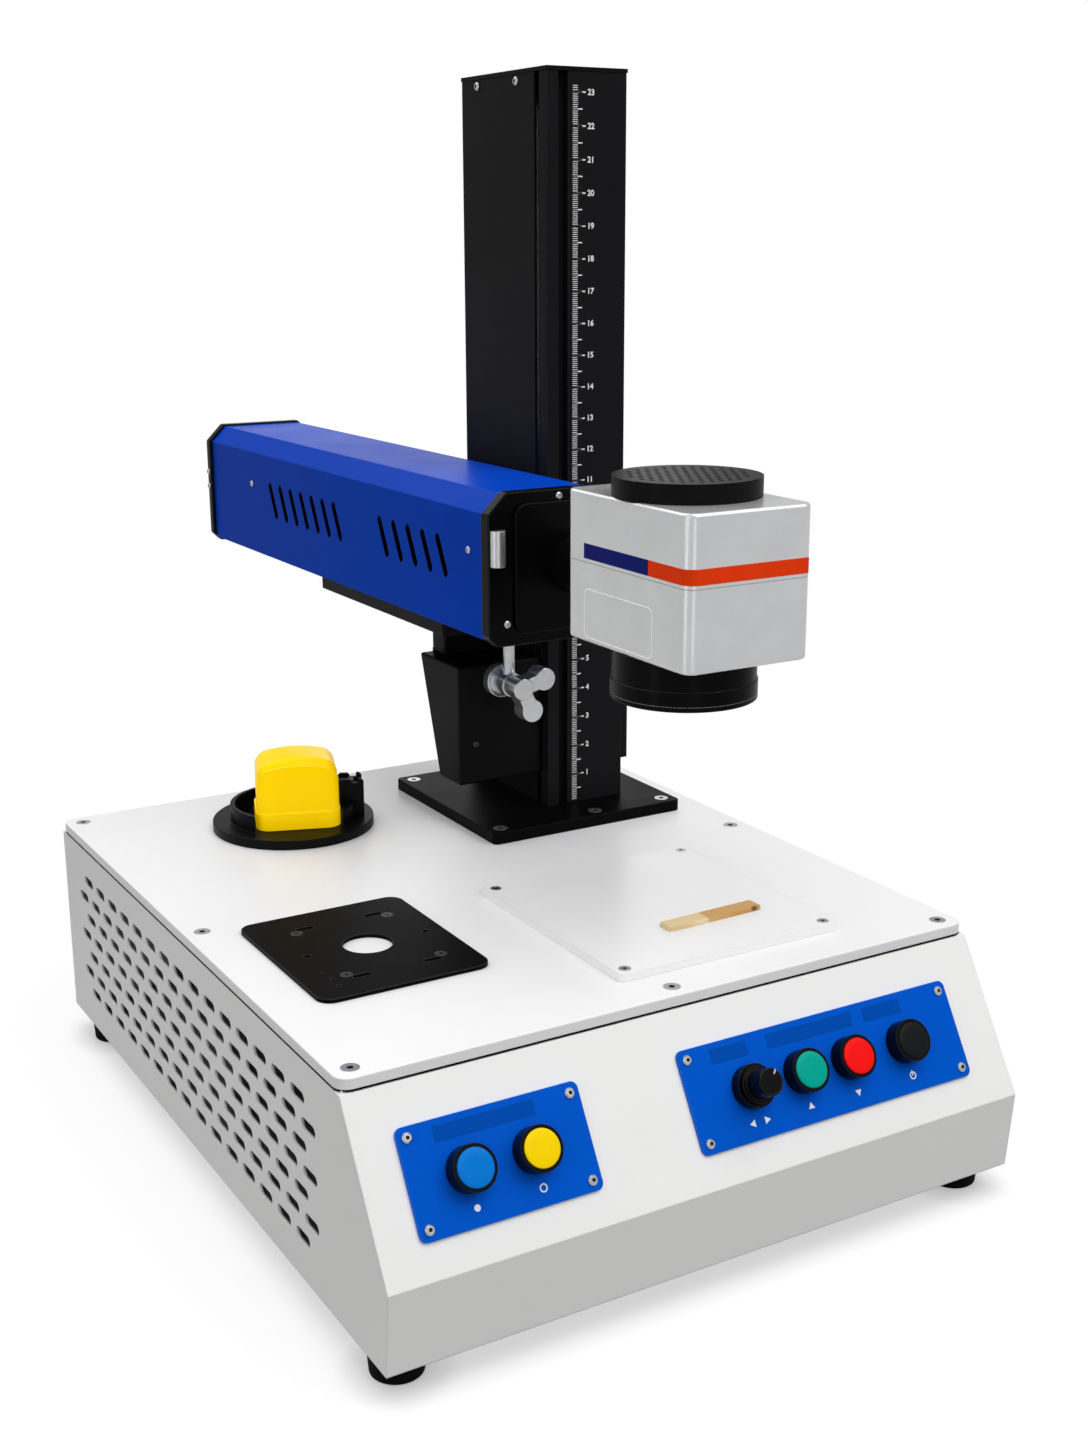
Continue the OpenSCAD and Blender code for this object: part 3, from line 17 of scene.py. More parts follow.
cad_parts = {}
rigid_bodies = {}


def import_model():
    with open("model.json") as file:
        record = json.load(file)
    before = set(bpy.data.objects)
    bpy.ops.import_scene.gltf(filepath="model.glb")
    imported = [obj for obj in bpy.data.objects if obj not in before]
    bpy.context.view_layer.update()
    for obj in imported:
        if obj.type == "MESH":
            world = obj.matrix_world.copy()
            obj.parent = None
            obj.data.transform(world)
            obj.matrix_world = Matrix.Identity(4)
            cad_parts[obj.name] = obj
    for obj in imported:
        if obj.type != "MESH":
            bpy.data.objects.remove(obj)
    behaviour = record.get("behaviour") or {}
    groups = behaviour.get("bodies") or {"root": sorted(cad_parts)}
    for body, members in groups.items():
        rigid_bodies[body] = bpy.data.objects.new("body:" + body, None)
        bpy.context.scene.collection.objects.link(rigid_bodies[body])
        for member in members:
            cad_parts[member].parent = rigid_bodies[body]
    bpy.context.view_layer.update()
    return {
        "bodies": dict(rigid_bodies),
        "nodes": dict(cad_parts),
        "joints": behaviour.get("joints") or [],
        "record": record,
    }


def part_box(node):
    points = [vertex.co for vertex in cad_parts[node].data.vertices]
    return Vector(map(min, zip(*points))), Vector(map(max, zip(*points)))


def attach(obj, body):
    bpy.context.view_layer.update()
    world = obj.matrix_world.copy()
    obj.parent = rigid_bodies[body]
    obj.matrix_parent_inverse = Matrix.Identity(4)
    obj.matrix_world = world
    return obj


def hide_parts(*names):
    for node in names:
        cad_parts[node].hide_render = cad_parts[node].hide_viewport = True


LOG = logging.getLogger("laser_marker")
MM = 0.001
COAT_ROUGH = 0.12
FILM_T = 0.4  # thickness in mm of a strip or film that hides its inner side

Place = tuple[float, float, float]
Colour = tuple[float, float, float, float]
Piece = bpy.types.Object
Tree = bpy.types.NodeTree
# Is given the middle of a face or edge in mm, and its normal or direction.
Test = Callable[[Vector, Vector], bool]


def linear(code: str) -> Colour:
    """Turn an sRGB hex colour such as "#0552C0" into linear light.

    Args:
        code: six hex digits after a hash.

    Returns:
        Red, green, blue and alpha for a shader socket.
    """
    parts = [int(code[i : i + 2], 16) / 255 for i in (1, 3, 5)]
    red, green, blue = (p / 12.92 if p <= 0.04045 else ((p + 0.055) / 1.055) ** 2.4 for p in parts)
    return (red, green, blue, 1.0)


def add_node(tree: Tree, kind: str, inputs: dict | None = None,
        **settings: object) -> bpy.types.Node:
    """Add a shader node with its settings, its plain values and its links.

    Args:
        tree: the node tree.
        kind: the node's type name after ShaderNode.
        inputs: socket name or number to a value, or to the output socket that feeds it.
        settings: attributes of the node itself.

    Returns:
        The new node.
    """
    node = tree.nodes.new(f"ShaderNode{kind}")
    for key, value in settings.items():
        setattr(node, key, value)
    for key, value in (inputs or {}).items():
        if isinstance(value, bpy.types.NodeSocket):
            tree.links.new(value, node.inputs[key])
        else:
            node.inputs[key].default_value = value
    return node


class Surface(Enum):
    """How a surface was made, which decides the direction of its grain."""

    EVEN = (1.0, 1.0, 1.0)
    DRAWN_UP = (1.0, 1.0, 0.02)
    DRAWN_BACK = (1.0, 0.02, 1.0)
    DRAWN_ACROSS = (0.02, 1.0, 1.0)
    TURNED_UP = (0.12, 0.12, 1.0)


@dataclass(frozen=True)
class Finish:
    """A finish with slow tone changes, a fine grain in its relief and a colour along its sharp edges
    that is partly wear and partly a painted highlight.

    Sizes are in millimetres. tone is how far the colour drifts, and tone_mm how wide the drifting
    patches are. The grain is drawn at the coarsest size that still reads as the real one. The
    emission strength is painted light: it makes a part glow though it is no lamp.
    """

    name: str
    colour: str
    rough: float
    metal: float = 0.0
    coat: float = 0.0
    ior: float = 1.5
    tone: float = 0.05
    tone_mm: float = 40.0
    grain_mm: float = 0.8
    grain_depth: float = 0.02
    surface: Surface = Surface.EVEN
    edge_mm: float = 0.6
    edge: str | None = None
    edge_share: float = 0.5
    # painted light: an emission strength for a part that is no lamp
    glow: float = 0.0

    def build(self) -> bpy.types.Material:
        """Make the material once and hand the same one back later.

        Returns:
            The material.
        """
        known = bpy.data.materials.get(self.name)
        if known is not None:
            return known
        material = bpy.data.materials.new(self.name)
        material.use_nodes = True
        material.diffuse_color = linear(self.colour)
        tree = material.node_tree
        shader = tree.nodes["Principled BSDF"]
        coords = add_node(tree, "TexCoord")
        mapping = add_node(tree, "Mapping", {"Vector": coords.outputs["Object"],
            "Scale": self.surface.value})
        rounded = add_node(tree, "Bevel", {"Radius": self.edge_mm * MM}, samples=4)
        colour = self.tint(tree, coords, rounded)
        tree.links.new(colour, shader.inputs["Base Color"])
        grain = add_node(tree, "TexNoise", {"Vector": mapping.outputs["Vector"],
            "Scale": 1 / (self.grain_mm * MM), "Detail": 3.0})
        haze = add_node(tree, "TexNoise", {"Vector": coords.outputs["Object"],
            "Scale": 1 / (0.6 * self.tone_mm * MM)})
        spread = add_node(tree, "MapRange", {"Value": haze.outputs["Fac"],
            "To Min": self.rough * 0.88, "To Max": min(1.0, self.rough * 1.12)})
        tree.links.new(spread.outputs["Result"], shader.inputs["Roughness"])
        relief = add_node(tree, "Bump", {"Height": grain.outputs["Fac"],
            "Normal": rounded.outputs["Normal"], "Strength": 1.0,
            "Distance": self.grain_depth * MM})
        tree.links.new(relief.outputs["Normal"], shader.inputs["Normal"])
        plain = {"Metallic": self.metal, "IOR": self.ior, "Coat Weight": self.coat,
            "Coat Roughness": COAT_ROUGH, "Emission Color": linear(self.colour),
            "Emission Strength": self.glow}
        for key, value in plain.items():
            shader.inputs[key].default_value = value
        return material

    def tint(self, tree: Tree, coords: bpy.types.Node,
            rounded: bpy.types.Node) -> bpy.types.NodeSocket:
        """Drift the base colour slowly and lay the edge colour along sharp edges, partly wear and
        partly a painted highlight.

        Args:
            tree: the material's node tree.
            coords: its texture coordinates.
            rounded: its bevel node.

        Returns:
            The socket that carries the colour.
        """
        base = linear(self.colour)
        patches = add_node(tree, "TexNoise", {"Vector": coords.outputs["Object"],
            "Scale": 1 / (self.tone_mm * MM), "Detail": 4.0, "Roughness": 0.6})
        ramp = add_node(tree, "ValToRGB", {"Fac": patches.outputs["Fac"]})
        low, high = ramp.color_ramp.elements
        low.position, high.position = 0.3, 0.7
        low.color = (*(c * (1 - self.tone) for c in base[:3]), 1.0)
        high.color = (*(min(1.0, c * (1 + self.tone)) for c in base[:3]), 1.0)
        if self.edge is None:
            return ramp.outputs["Color"]
        # Painted highlight, partly wear: the edge colour is mixed in where the bevel node's rounded
        # normal turns away from the flat one.
        flat = add_node(tree, "NewGeometry")
        facing = add_node(tree, "VectorMath", {0: rounded.outputs["Normal"],
            1: flat.outputs["Normal"]}, operation="DOT_PRODUCT")
        near = add_node(tree, "MapRange", {"Value": facing.outputs["Value"], "From Min": 0.80,
            "From Max": 0.985, "To Min": self.edge_share, "To Max": 0.0})
        mix = add_node(tree, "Mix", {0: near.outputs["Result"], 6: ramp.outputs["Color"],
            7: linear(self.edge)}, data_type="RGBA")
        return mix.outputs[2]


@dataclass(frozen=True)
class Wood(Finish):
    """Bare sawn softwood: long growth lines along X, darker and knotted towards its right end."""

    dark: str = "#E2C79C"
    knot: Place = (0.1215, -0.3105, 0.1985)

    def tint(self, tree: Tree, coords: bpy.types.Node,
            rounded: bpy.types.Node) -> bpy.types.NodeSocket:
        """Draw the growth lines, the darker end and the knot.

        Args:
            tree: the material's node tree.
            coords: its texture coordinates.
            rounded: its bevel node, which bare wood doesn't use.

        Returns:
            The socket that carries the colour.
        """
        place = coords.outputs["Object"]
        along = add_node(tree, "Mapping", {"Vector": place, "Scale": (0.06, 1, 1)})
        lines = add_node(tree, "TexWave", {"Vector": along.outputs["Vector"], "Scale": 190.0,
            "Distortion": 5.0, "Detail": 3.0, "Detail Scale": 1.5}, bands_direction="Y")
        ramp = add_node(tree, "ValToRGB", {"Fac": lines.outputs["Fac"]})
        low, high = ramp.color_ramp.elements
        low.color, high.color = linear(self.colour), linear("#DDBF8A")
        high.position = 0.8
        split = add_node(tree, "SeparateXYZ", {"Vector": place})
        end = add_node(tree, "MapRange", {"Value": split.outputs["X"], "From Min": 0.078,
            "From Max": 0.081})
        mixed = add_node(tree, "Mix", {0: end.outputs["Result"], 6: ramp.outputs["Color"],
            7: linear(self.dark)}, data_type="RGBA", blend_type="MULTIPLY")
        reach = add_node(tree, "VectorMath", {0: place, 1: self.knot}, operation="DISTANCE")
        spot = add_node(tree, "MapRange", {"Value": reach.outputs["Value"], "From Min": 0.0012,
            "From Max": 0.004, "To Min": 1.0, "To Max": 0.0})
        knotted = add_node(tree, "Mix", {0: spot.outputs["Result"], 6: mixed.outputs[2],
            7: linear("#5A3B1C")}, data_type="RGBA")
        return knotted.outputs[2]


@dataclass(frozen=True)
class Glass(Finish):
    """Coated lens glass: clear, with the bluish sheen of its coating."""

    def build(self) -> bpy.types.Material:
        """Make the clear material.

        Returns:
            The material.
        """
        material = super().build()
        shader = material.node_tree.nodes["Principled BSDF"]
        shader.inputs["Transmission Weight"].default_value = 0.9
        return material


# Where a finish below has an edge colour, it is laid along sharp edges and is partly wear and partly
# a painted highlight; on the work plate it is a darker grey line.
# Polyester powder coat on sheet steel: a fine orange peel that softens every reflection.
POWDER_WHITE = Finish("powder_coated_steel_white", "#F0F0EF", 0.46, tone=0.012, tone_mm=90,
    grain_mm=1.4, grain_depth=0.012, edge_mm=1.4, edge="#FAFAFA", edge_share=0.6)
# The deck's coat is smoother and a touch brighter than the cabinet's.
DECK_WHITE = Finish("powder_coated_plate_white", "#F0F0F0", 0.40, tone=0.010, tone_mm=120,
    grain_mm=1.2, grain_depth=0.008, edge_mm=1.0, edge="#FAFAFA", edge_share=0.5)
# Screen-printed aluminium panel: an even, slightly glossy blue.
PANEL_BLUE = Finish("printed_aluminium_blue", "#0057CC", 0.38, ior=1.08, tone=0.02, tone_mm=30,
    grain_mm=0.6, grain_depth=0.006, edge_mm=0.7, edge="#7EA6DD", edge_share=0.8)
PATCH_BLUE = Finish("printed_aluminium_dark_blue", "#004CAF", 0.40, ior=1.08, tone=0.02,
    tone_mm=20, grain_mm=0.6, grain_depth=0.006)
# Sprayed two-pack lacquer: deep blue under a soft gloss that turns pale where it faces the light.
# Its paler edge colour is a painted highlight.
HEAD_BLUE = Finish("lacquered_aluminium_blue", "#003FB6", 0.38, ior=1.07, coat=0.02, tone=0.03,
    tone_mm=70, grain_mm=1.6, grain_depth=0.010, edge_mm=1.6, edge="#3D6ADB", edge_share=0.45)
# Black anodised aluminium, bead-blasted first: dull sheen with paler edges, partly rubbed wear and
# partly a painted highlight.
ANODISED = Finish("anodised_aluminium_black", "#0B0B0C", 0.40, ior=1.15, tone=0.10, tone_mm=50,
    grain_mm=0.5, grain_depth=0.010, edge_mm=0.8, edge="#56585C", edge_share=0.55)
# A darker, less reflective copy of the same black anodise for the plates that lie flat: painted
# shade.
ANODISED_SHADED = Finish("anodised_plate_black", "#080809", 0.42, ior=1.10, tone=0.10, tone_mm=50,
    grain_mm=0.5, grain_depth=0.010, edge_mm=0.9, edge="#6A6C70", edge_share=0.6)
# The extruded column: the same black with faint lines along the draw.
ANODISED_DRAWN = Finish("anodised_extrusion_black", "#19191B", 0.38, ior=1.12, tone=0.10,
    tone_mm=60, grain_mm=0.6, grain_depth=0.010, surface=Surface.DRAWN_UP, edge_mm=0.8,
    edge="#4A4C50", edge_share=0.5)
ANODISED_GLOSS = Finish("anodised_aluminium_satin_black", "#060607", 0.26, ior=1.16, tone=0.08,
    tone_mm=40, grain_mm=0.8, grain_depth=0.006, edge_mm=0.9, edge="#606266", edge_share=0.5)
# Milled, blasted and clear-anodised aluminium: pale grey with a silky vertical highlight.
BLASTED = Finish("blasted_aluminium_clear", "#E9EAEB", 0.25, metal=0.66, tone=0.035, tone_mm=26,
    grain_mm=0.5, grain_depth=0.012, edge_mm=2.2, edge="#F4F5F6", edge_share=0.8)
# The work plate is a shade greyer than the deck, and darker grey along its sharp edges.
PLATE_WHITE = Finish("lacquered_work_plate_white", "#F1F1F1", 0.34, coat=0.1, tone=0.012,
    tone_mm=80, grain_mm=1.2, grain_depth=0.006, edge_mm=0.9, edge="#C4C4C4", edge_share=0.7)
# A bright engraved line, with a glow of painted light.
ENGRAVED = Finish("engraved_line_bright", "#F4F5F6", 0.45, tone=0.05, grain_mm=0.4,
    grain_depth=0.004, glow=0.25)
# A grey metallic ring that paints a highlight round the lens barrel's rim.
RIM_HIGHLIGHT = Finish("rim_highlight_grey", "#6C6E71", 0.3, metal=0.6, tone=0.05)
SEAM = Finish("joint_line_grey", "#8C8E90", 0.5, metal=0.3, tone=0.05)
MILLED = Finish("milled_aluminium", "#B4B7BA", 0.36, metal=0.85, tone=0.05, grain_mm=0.4,
    grain_depth=0.014, surface=Surface.DRAWN_BACK)
# Bright zinc-plated steel screws.
ZINC_SCREW = Finish("zinc_plated_steel", "#C4C6C8", 0.30, metal=0.95, tone=0.08, tone_mm=4,
    grain_mm=0.3, grain_depth=0.01, edge_mm=0.3, edge="#F0F1F2", edge_share=0.5)
# Turned and polished stainless steel, with fine rings from the lathe.
TURNED = Finish("turned_stainless_steel", "#D2D4D6", 0.25, metal=0.88, tone=0.06, tone_mm=8,
    grain_mm=0.35, grain_depth=0.012, surface=Surface.TURNED_UP, edge_mm=0.5, edge="#F2F3F4",
    edge_share=0.5)
RUBBER = Finish("moulded_rubber_black", "#0C0C0C", 0.72, ior=1.15, tone=0.12, tone_mm=8,
    grain_mm=0.5, grain_depth=0.03, edge_mm=0.8, edge="#2A2A2A")
# Glass-filled nylon: fine spark-eroded grain.
NYLON = Finish("moulded_nylon_black", "#0B0B0C", 0.40, ior=1.16, tone=0.08, tone_mm=12,
    grain_mm=0.5, grain_depth=0.018, edge_mm=0.7, edge="#3C3E41", edge_share=0.6)
BEZEL = Finish("moulded_polycarbonate_black", "#08080A", 0.24, ior=1.22, tone=0.05, tone_mm=10,
    grain_mm=0.9, grain_depth=0.004, edge_mm=0.6, edge="#45484C", edge_share=0.5)
# Moulded polycarbonate caps: even colour, crisp small highlights.
CAP_BLUE = Finish("moulded_cap_blue", "#0079D6", 0.28, ior=1.14, coat=0.03, tone=0.03, tone_mm=9,
    grain_mm=1.0, grain_depth=0.004)
CAP_YELLOW = replace(CAP_BLUE, name="moulded_cap_yellow", colour="#FFD800", tone=0.02)
CAP_GREEN = replace(CAP_BLUE, name="moulded_cap_green", colour="#00A694")
CAP_RED = replace(CAP_BLUE, name="moulded_cap_red", colour="#FF1414", tone=0.02)
CAP_BLACK = Finish("moulded_cap_black", "#161719", 0.32, ior=1.18, tone=0.05, tone_mm=9,
    grain_mm=1.0, grain_depth=0.004, edge_mm=0.6, edge="#3A3C40")
# Moulded ABS hood: warm yellow, semi-gloss, with a glow of painted light that brightens it.
HOOD_YELLOW = Finish("moulded_abs_yellow", "#FFD200", 0.26, ior=1.14, coat=0.06, tone=0.02,
    tone_mm=25, grain_mm=1.5, grain_depth=0.006, edge_mm=1.0, edge="#FFF3A0", edge_share=0.5,
    glow=0.26)
WOOD = Wood("sawn_pine", "#EAD6AC", 0.62, grain_mm=0.5, grain_depth=0.04,
    surface=Surface.DRAWN_ACROSS)
SHEET_ZINC = Finish("galvanised_sheet", "#9FA2A4", 0.42, metal=0.8, tone=0.10, tone_mm=14)
CASE = Finish("perforated_case_aluminium", "#A5A8AB", 0.40, metal=0.8, tone=0.05)
MOTOR = Finish("stove_enamel_black", "#18191B", 0.45, tone=0.06, tone_mm=20)
BRASS = Finish("turned_brass", "#C79A4A", 0.30, metal=0.95, tone=0.05, tone_mm=10,
    surface=Surface.TURNED_UP)
BOARD = Finish("fibreglass_board_green", "#1C5A33", 0.40, coat=0.3, tone=0.12, tone_mm=12)
MIRROR = Finish("coated_silicon_mirror", "#E3E6EA", 0.05, metal=1.0, tone=0.01, grain_depth=0.0)
LENS = Glass("coated_lens_glass", "#BFD0E6", 0.03, tone=0.01, grain_depth=0.0, ior=1.6)
# Matt inks: white scale and signs, the knob's grey pointer, navy and orange bands.
INK_WHITE = Finish("screen_ink_white", "#F0F0F0", 0.55, tone=0.03, tone_mm=6, grain_mm=0.4,
    grain_depth=0.006)
INK_POINTER = Finish("laser_marked_grey", "#C9CACB", 0.60, tone=0.12, tone_mm=6, grain_mm=0.4,
    grain_depth=0.006)
INK_NAVY = Finish("vinyl_band_navy", "#121D72", 0.40, ior=1.12, tone=0.04, tone_mm=12,
    grain_mm=0.6, grain_depth=0.004)
INK_ORANGE = replace(INK_NAVY, name="vinyl_band_orange", colour="#FA4212", tone=0.03)
# Near-black painted shade for the deck's gap, the head's slot walls and the laser module seen
# through them.
PAINTED_SHADE = Finish("shadowed_groove", "#070708", 0.80, ior=1.1, tone=0.05)
# Painted shade inside a hexagon socket, and the black-oxide screws of the fixture plate, whose pale
# edge colour is a painted highlight.
HEX_SHADE = Finish("socket_in_shadow", "#26272A", 0.55, metal=0.5, tone=0.05)
OXIDE = Finish("black_oxide_steel", "#2B2C2E", 0.36, metal=0.6, tone=0.08, tone_mm=4,
    grain_mm=0.3, edge_mm=0.3, edge="#B8BABC", edge_share=0.6)


def deselect() -> None:
    """Leave edit mode and deselect everything."""
    if bpy.context.object is not None and bpy.context.object.mode != "OBJECT":
        bpy.ops.object.mode_set(mode="OBJECT")
    bpy.ops.object.select_all(action="DESELECT")


def activate(piece: Piece) -> None:
    """Make one piece the only selected and the active object."""
    deselect()
    piece.select_set(True)
    bpy.context.view_layer.objects.active = piece


class Bench:
    """The modelling bench: primitives, edit-mode steps and applied modifiers, in millimetres."""

    @staticmethod
    def block(name: str, low: Place, high: Place) -> Piece:
        """Add a box between two corners.

        Args:
            name: the piece's name.
            low: its lowest corner in mm.
            high: its highest corner in mm.

        Returns:
            The new mesh object, at the origin.
        """
        deselect()
        middle = (Vector(low) + Vector(high)) * 0.5 * MM
        bpy.ops.mesh.primitive_cube_add(size=1, location=middle)
        piece = bpy.context.object
        piece.name = name
        piece.scale = (Vector(high) - Vector(low)) * MM
        bpy.ops.object.transform_apply(location=True, rotation=True, scale=True)
        return piece

    @staticmethod
    def turned(name: str, radius: float, low: float, high: float, sides: int = 96) -> Piece:
        """Add a cylinder on the Z axis.

        Args:
            name: the piece's name.
            radius: its radius in mm.
            low: the height of its lower end in mm.
            high: the height of its upper end in mm.
            sides: the number of its sides.

        Returns:
            The new mesh object, at the origin.
        """
        deselect()
        bpy.ops.mesh.primitive_cylinder_add(vertices=sides, radius=radius * MM,
            depth=(high - low) * MM, location=(0, 0, (low + high) / 2 * MM))
        piece = bpy.context.object
        piece.name = name
        bpy.ops.object.transform_apply(location=True, rotation=True, scale=True)
        return piece

    @staticmethod
    def pick(piece: Piece, test: Test) -> None:
        """Select the faces that pass a test and enter edit mode.

        Args:
            piece: the piece.
            test: picks the faces.
        """
        activate(piece)
        mesh = piece.data
        for part in (*mesh.vertices, *mesh.edges):
            part.select = False
        for face in mesh.polygons:
            face.select = bool(test(face.center / MM, face.normal))
        bpy.context.tool_settings.mesh_select_mode = (False, False, True)
        bpy.ops.object.mode_set(mode="EDIT")

    @staticmethod
    def done() -> None:
        """Leave edit mode."""
        bpy.ops.object.mode_set(mode="OBJECT")

    @classmethod
    def cut(cls, piece: Piece, test: Test) -> None:
        """Delete the faces that pass a test."""
        cls.pick(piece, test)
        bpy.ops.mesh.delete(type="FACE")
        cls.done()

    @classmethod
    def skin(cls, piece: Piece, thickness: float = FILM_T) -> None:
        """Give an open strip a thickness in mm, inwards."""
        cls.modify(piece, "SOLIDIFY", thickness=thickness * MM, offset=-1.0)

    @classmethod
    def inset(cls, piece: Piece, test: Test, width: float, rise: float = 0.0) -> None:
        """Inset the picked faces and raise or sink what is inside.

        Args:
            piece: the piece.
            test: picks the faces.
            width: the inset in mm.
            rise: how far the inner faces stand proud, in mm.
        """
        cls.pick(piece, test)
        bpy.ops.mesh.inset(thickness=width * MM, depth=rise * MM)
        cls.done()

    @classmethod
    def extrude(cls, piece: Piece, test: Test, move: Place) -> None:
        """Extrude the picked faces by a move.

        Args:
            piece: the piece.
            test: picks the faces.
            move: the move in mm.
        """
        cls.pick(piece, test)
        step = tuple(Vector(move) * MM)
        bpy.ops.mesh.extrude_region_move(TRANSFORM_OT_translate={"value": step})
        cls.done()

    @staticmethod
    def modify(piece: Piece, kind: str, **settings: object) -> None:
        """Add a modifier and apply it.

        Args:
            piece: the piece.
            kind: the modifier's type.
            settings: its attributes.
        """
        activate(piece)
        modifier = piece.modifiers.new(kind.title(), kind)
        for key, value in settings.items():
            setattr(modifier, key, value)
        bpy.ops.object.modifier_apply(modifier=modifier.name)

    @classmethod
    def round_edges(cls, piece: Piece, width: float, steps: int = 3, angle: float = 40.0,
            pick: Test | None = None) -> None:
        """Round the edges that are sharper than an angle.

        Args:
            piece: the piece.
            width: the bevel's width in mm.
            steps: its segments.
            angle: the least angle between faces, in degrees.
            pick: is given an edge's middle in mm and its direction, and picks the edges instead.
        """
        if pick is not None:
            cls.weigh(piece, angle, pick)
        cls.modify(piece, "BEVEL", width=width * MM, segments=steps,
            limit_method="ANGLE" if pick is None else "WEIGHT", angle_limit=math.radians(angle),
            use_clamp_overlap=False)

    @staticmethod
    def weigh(piece: Piece, angle: float, pick: Test) -> None:
        """Give a bevel weight to the sharp edges that pass a test.

        Args:
            piece: the piece.
            angle: the least angle between an edge's faces, in degrees.
            pick: is given an edge's middle in mm and its direction.
        """
        mesh = piece.data
        sides: dict[tuple[int, int], list[Vector]] = {}
        for face in mesh.polygons:
            for key in face.edge_keys:
                sides.setdefault(key, []).append(face.normal)
        weights = mesh.attributes.new("bevel_weight_edge", "FLOAT", "EDGE")
        for edge in mesh.edges:
            normals = sides.get(tuple(sorted(edge.vertices)), [])
            if len(normals) != 2 or normals[0].angle(normals[1], 0.0) < math.radians(angle):
                continue
            a, b = (mesh.vertices[i].co for i in edge.vertices)
            if pick((a + b) / 2 / MM, (b - a).normalized()):
                weights.data[edge.index].value = 1.0

    @classmethod
    def belt(cls, name: str, low: Place, high: Place, radius: float, proud: float) -> Piece:
        """Model a thin closed strip round a box with rounded upright corners.

        Args:
            name: the piece's name.
            low: the box's lowest corner in mm.
            high: its highest corner in mm; the strip is as high as the box.
            radius: the radius of its corners in mm.
            proud: how far the strip stands off the box, in mm.

        Returns:
            The strip.
        """
        grow = Vector((proud, proud, 0))
        piece = cls.block(name, tuple(Vector(low) - grow), tuple(Vector(high) + grow))
        cls.weigh(piece, 40, lambda c, d: abs(d.z) > 0.9)
        cls.modify(piece, "BEVEL", width=(radius + proud) * MM, segments=14, limit_method="WEIGHT")
        cls.cut(piece, lambda c, n: abs(n.z) > 0.9)
        cls.skin(piece)
        return piece

    @staticmethod
    def smooth(piece: Piece, angle: float = 35.0) -> None:
        """Shade the piece smooth across shallow angles."""
        activate(piece)
        bpy.ops.object.shade_smooth_by_angle(angle=math.radians(angle))

    @staticmethod
    def carry(piece: Piece, matrix: Matrix) -> None:
        """Move the piece by a matrix in metres and apply it to the mesh."""
        activate(piece)
        piece.matrix_world = matrix
        bpy.ops.object.transform_apply(location=True, rotation=True, scale=True)

    @classmethod
    def join(cls, pieces: Sequence[Piece], name: str) -> Piece:
        """Join pieces into one object.

        Args:
            pieces: what to join.
            name: the joined piece's name.

        Returns:
            The joined piece.
        """
        deselect()
        for piece in pieces:
            piece.select_set(True)
        bpy.context.view_layer.objects.active = pieces[0]
        bpy.ops.object.join()
        pieces[0].name = name
        return pieces[0]


